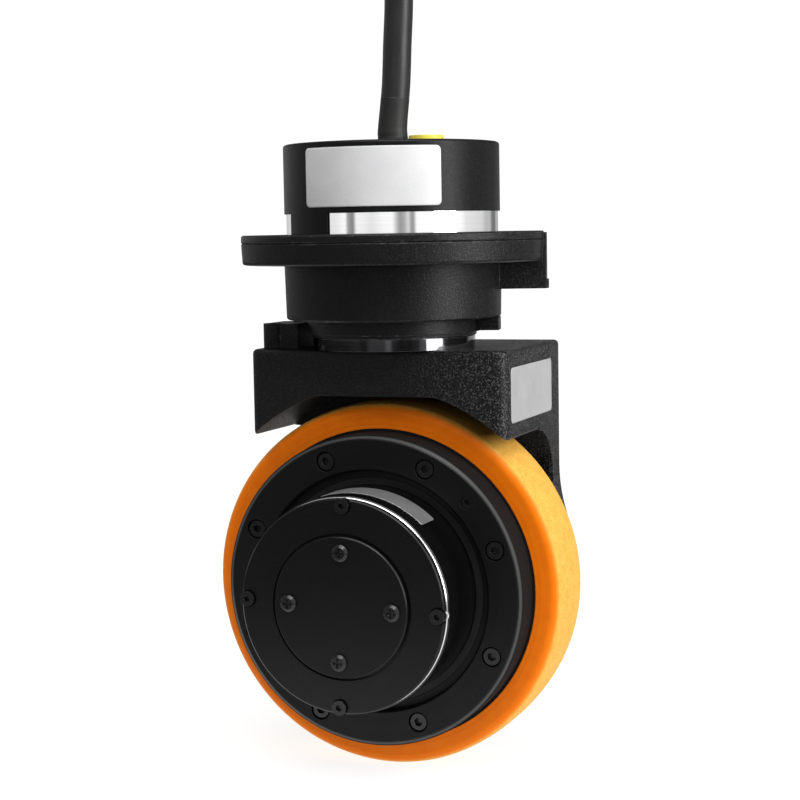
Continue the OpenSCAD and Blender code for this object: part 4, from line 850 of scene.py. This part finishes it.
# ------------------------------------------------------------------------------------------------------------
# Tyre: orange polyurethane cast on the hub. The machined side and most of its round shoulder are smooth and
# deep orange; the tread is ground, so it is paler and grainy, and it carries scuffs.
shoulder_from = 0.0199
tread_from = 0.0183
tyre_finish, wire, place = begin_material("polyurethane")
split = [wire.node("ShaderNodeSeparateXYZ", {}, {0: place}, axis) for axis in "XYZ"]
reach = (split[0] ** 2 + (split[2] - axle_height) ** 2) ** 0.5
from_middle = wire.maths("ABSOLUTE", split[1])
shoulder = ramp(wire, from_middle, shoulder_from, tread_from, 0.0, 1.0)
tread = ramp(wire, from_middle, tread_from + 0.0006, tread_from - 0.0010, 0.0, 1.0)
pores = noise(wire, place, 1100.0, 2.0, 0.6)
mottle = noise(wire, place, 160.0, 3.0, 0.6)
rings = noise(wire, turning_place(wire, place, "Y"), 0.8, 2.0, 0.5)
side_colour = tint(wire, ramp(wire, 0.6 * rings + 0.4 * mottle, 0.35, 0.65), (0.72, 0.135, 0.0008),
                   (0.80, 0.175, 0.0014))
shoulder_colour = tint(wire, ramp(wire, mottle, 0.35, 0.65), (0.74, 0.31, 0.042), (0.80, 0.36, 0.060))
tread_colour = tint(wire, ramp(wire, 0.75 * pores + 0.25 * mottle, 0.42, 0.58), (0.64, 0.32, 0.046),
                    (0.78, 0.43, 0.086))
tyre_colour = tint(wire, tread, tint(wire, shoulder, side_colour, shoulder_colour), tread_colour)
tyre_height = wire.node("ShaderNodeMix", {}, {0: shoulder, 2: 0.1 * rings, 3: pores})
end_material(wire, {"Base Color": tyre_colour, "Roughness": ramp(wire, tread, 0.0, 1.0, 0.46, 0.70),
                    "Specular IOR Level": 0.12,
                    "Normal": bumped(wire, tyre_height, 0.00022, rounded_edges(wire, 0.0006))})
dress(tyre_finish, "tyre")

# ------------------------------------------------------------------------------------------------------------
# Drive motor: a smooth turned can in gloss black, its front cover with four rim screws and the round end
# plate with four cross-recess screws. Hard anodised, so edges stay sharp and catch a thin line of light.
rim_ring = 0.0475
rim_turn = 88 / 90
glint_from, glint_to = 0.0029, 0.0037
motor_face = -0.0713
shiny_cut = 0.0007


def painted_seat_glints(wire, place):
    """Painted glints: short white arcs painted on the right-hand rim of the rim screws' seats, as the light caught
    there. The nearest of the four screws stands at the bearing t, rounded to quarter turns: its place is (R cos t, R
    sin t), and the glint is a short arc at the seat's radius round it."""
    across, high, reach = from_axle(wire, place)
    quarter = wire.maths("ARCTAN2", high, across) * (2 / np.pi) - rim_turn
    turn = (wire.maths("ROUND", quarter) + rim_turn) * (np.pi / 2)
    aside_screw = across - wire.maths("COSINE", turn) * rim_ring
    above_screw = high - wire.maths("SINE", turn) * rim_ring
    near = (aside_screw ** 2 + above_screw ** 2) ** 0.5
    arc = ramp(wire, near, glint_from, glint_from + 0.0001) * ramp(wire, near, glint_to - 0.0001, glint_to, 1.0, 0.0)
    rightward = ramp(wire, aside_screw - 0.80 * near, 0.0, 0.0001)
    arcs = ramp(wire, noise(wire, place, 700.0, 0.0), 0.40, 0.48)
    return arcs * arc * rightward


def cut_edge_and_glints(wire, place):
    """The housing's front edge is cut after anodising, so that a thin line of it shines like a mirror; the painted
    glints at the rim screws' seats are added to its colour, not to its metal.
    """
    along = wire.node("ShaderNodeSeparateXYZ", {}, {0: place}, "Y")
    line = ramp(wire, along, motor_face + shiny_cut - 0.0003, motor_face + shiny_cut, 0.9, 0.0)
    return wire.maths("MAXIMUM", line, painted_seat_glints(wire, place)), line


motor_finish = anodised("motor_gloss", (0.0015, 0.0015, 0.0016), (0.003, 0.003, 0.0031), (0.22, 0.14), 0.000004,
                        0.40, 0.0004, bare_or_glints=cut_edge_and_glints)
dress(motor_finish, "motor_housing")
# The cover has the same painted glints at the rim screws' seats, as white colour.
cover_finish = anodised("motor_cover", (0.002, 0.002, 0.0021), (0.005, 0.005, 0.0051), (0.34, 0.26),
                        0.000006, 0.26, 0.0004, bare_or_glints=lambda wire, place: (painted_seat_glints(wire, place), 0.0))
dress(cover_finish, "motor_cover", "end_plate")

# Rating plate of the drive motor: silver film on top of the can, left bare.
motor_radius = 0.0514
motor_plate_from, motor_plate_to = np.radians(108), np.radians(47)
motor_plate_back, motor_plate_front = -0.0435, -0.0605


def on_motor(across, up, over):
    """On the motor's round side: the bearing is counted from +X towards +Z, and up runs to the back."""
    angle = (motor_plate_from + motor_plate_to) / 2 - across / motor_radius
    return np.stack([(motor_radius + over) * np.cos(angle), (motor_plate_back + motor_plate_front) / 2 + up,
                     axle_height + (motor_radius + over) * np.sin(angle)], -1)


motor_plate = plate("motor_plate", motor_radius * (motor_plate_from - motor_plate_to),
                    motor_plate_back - motor_plate_front, 0.0012, on_motor)
dress(film("silver_film", (0.50, 0.50, 0.51), (0.60, 0.60, 0.61), 0.85, (0.34, 0.46)), motor_plate)
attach(motor_plate, "steering")
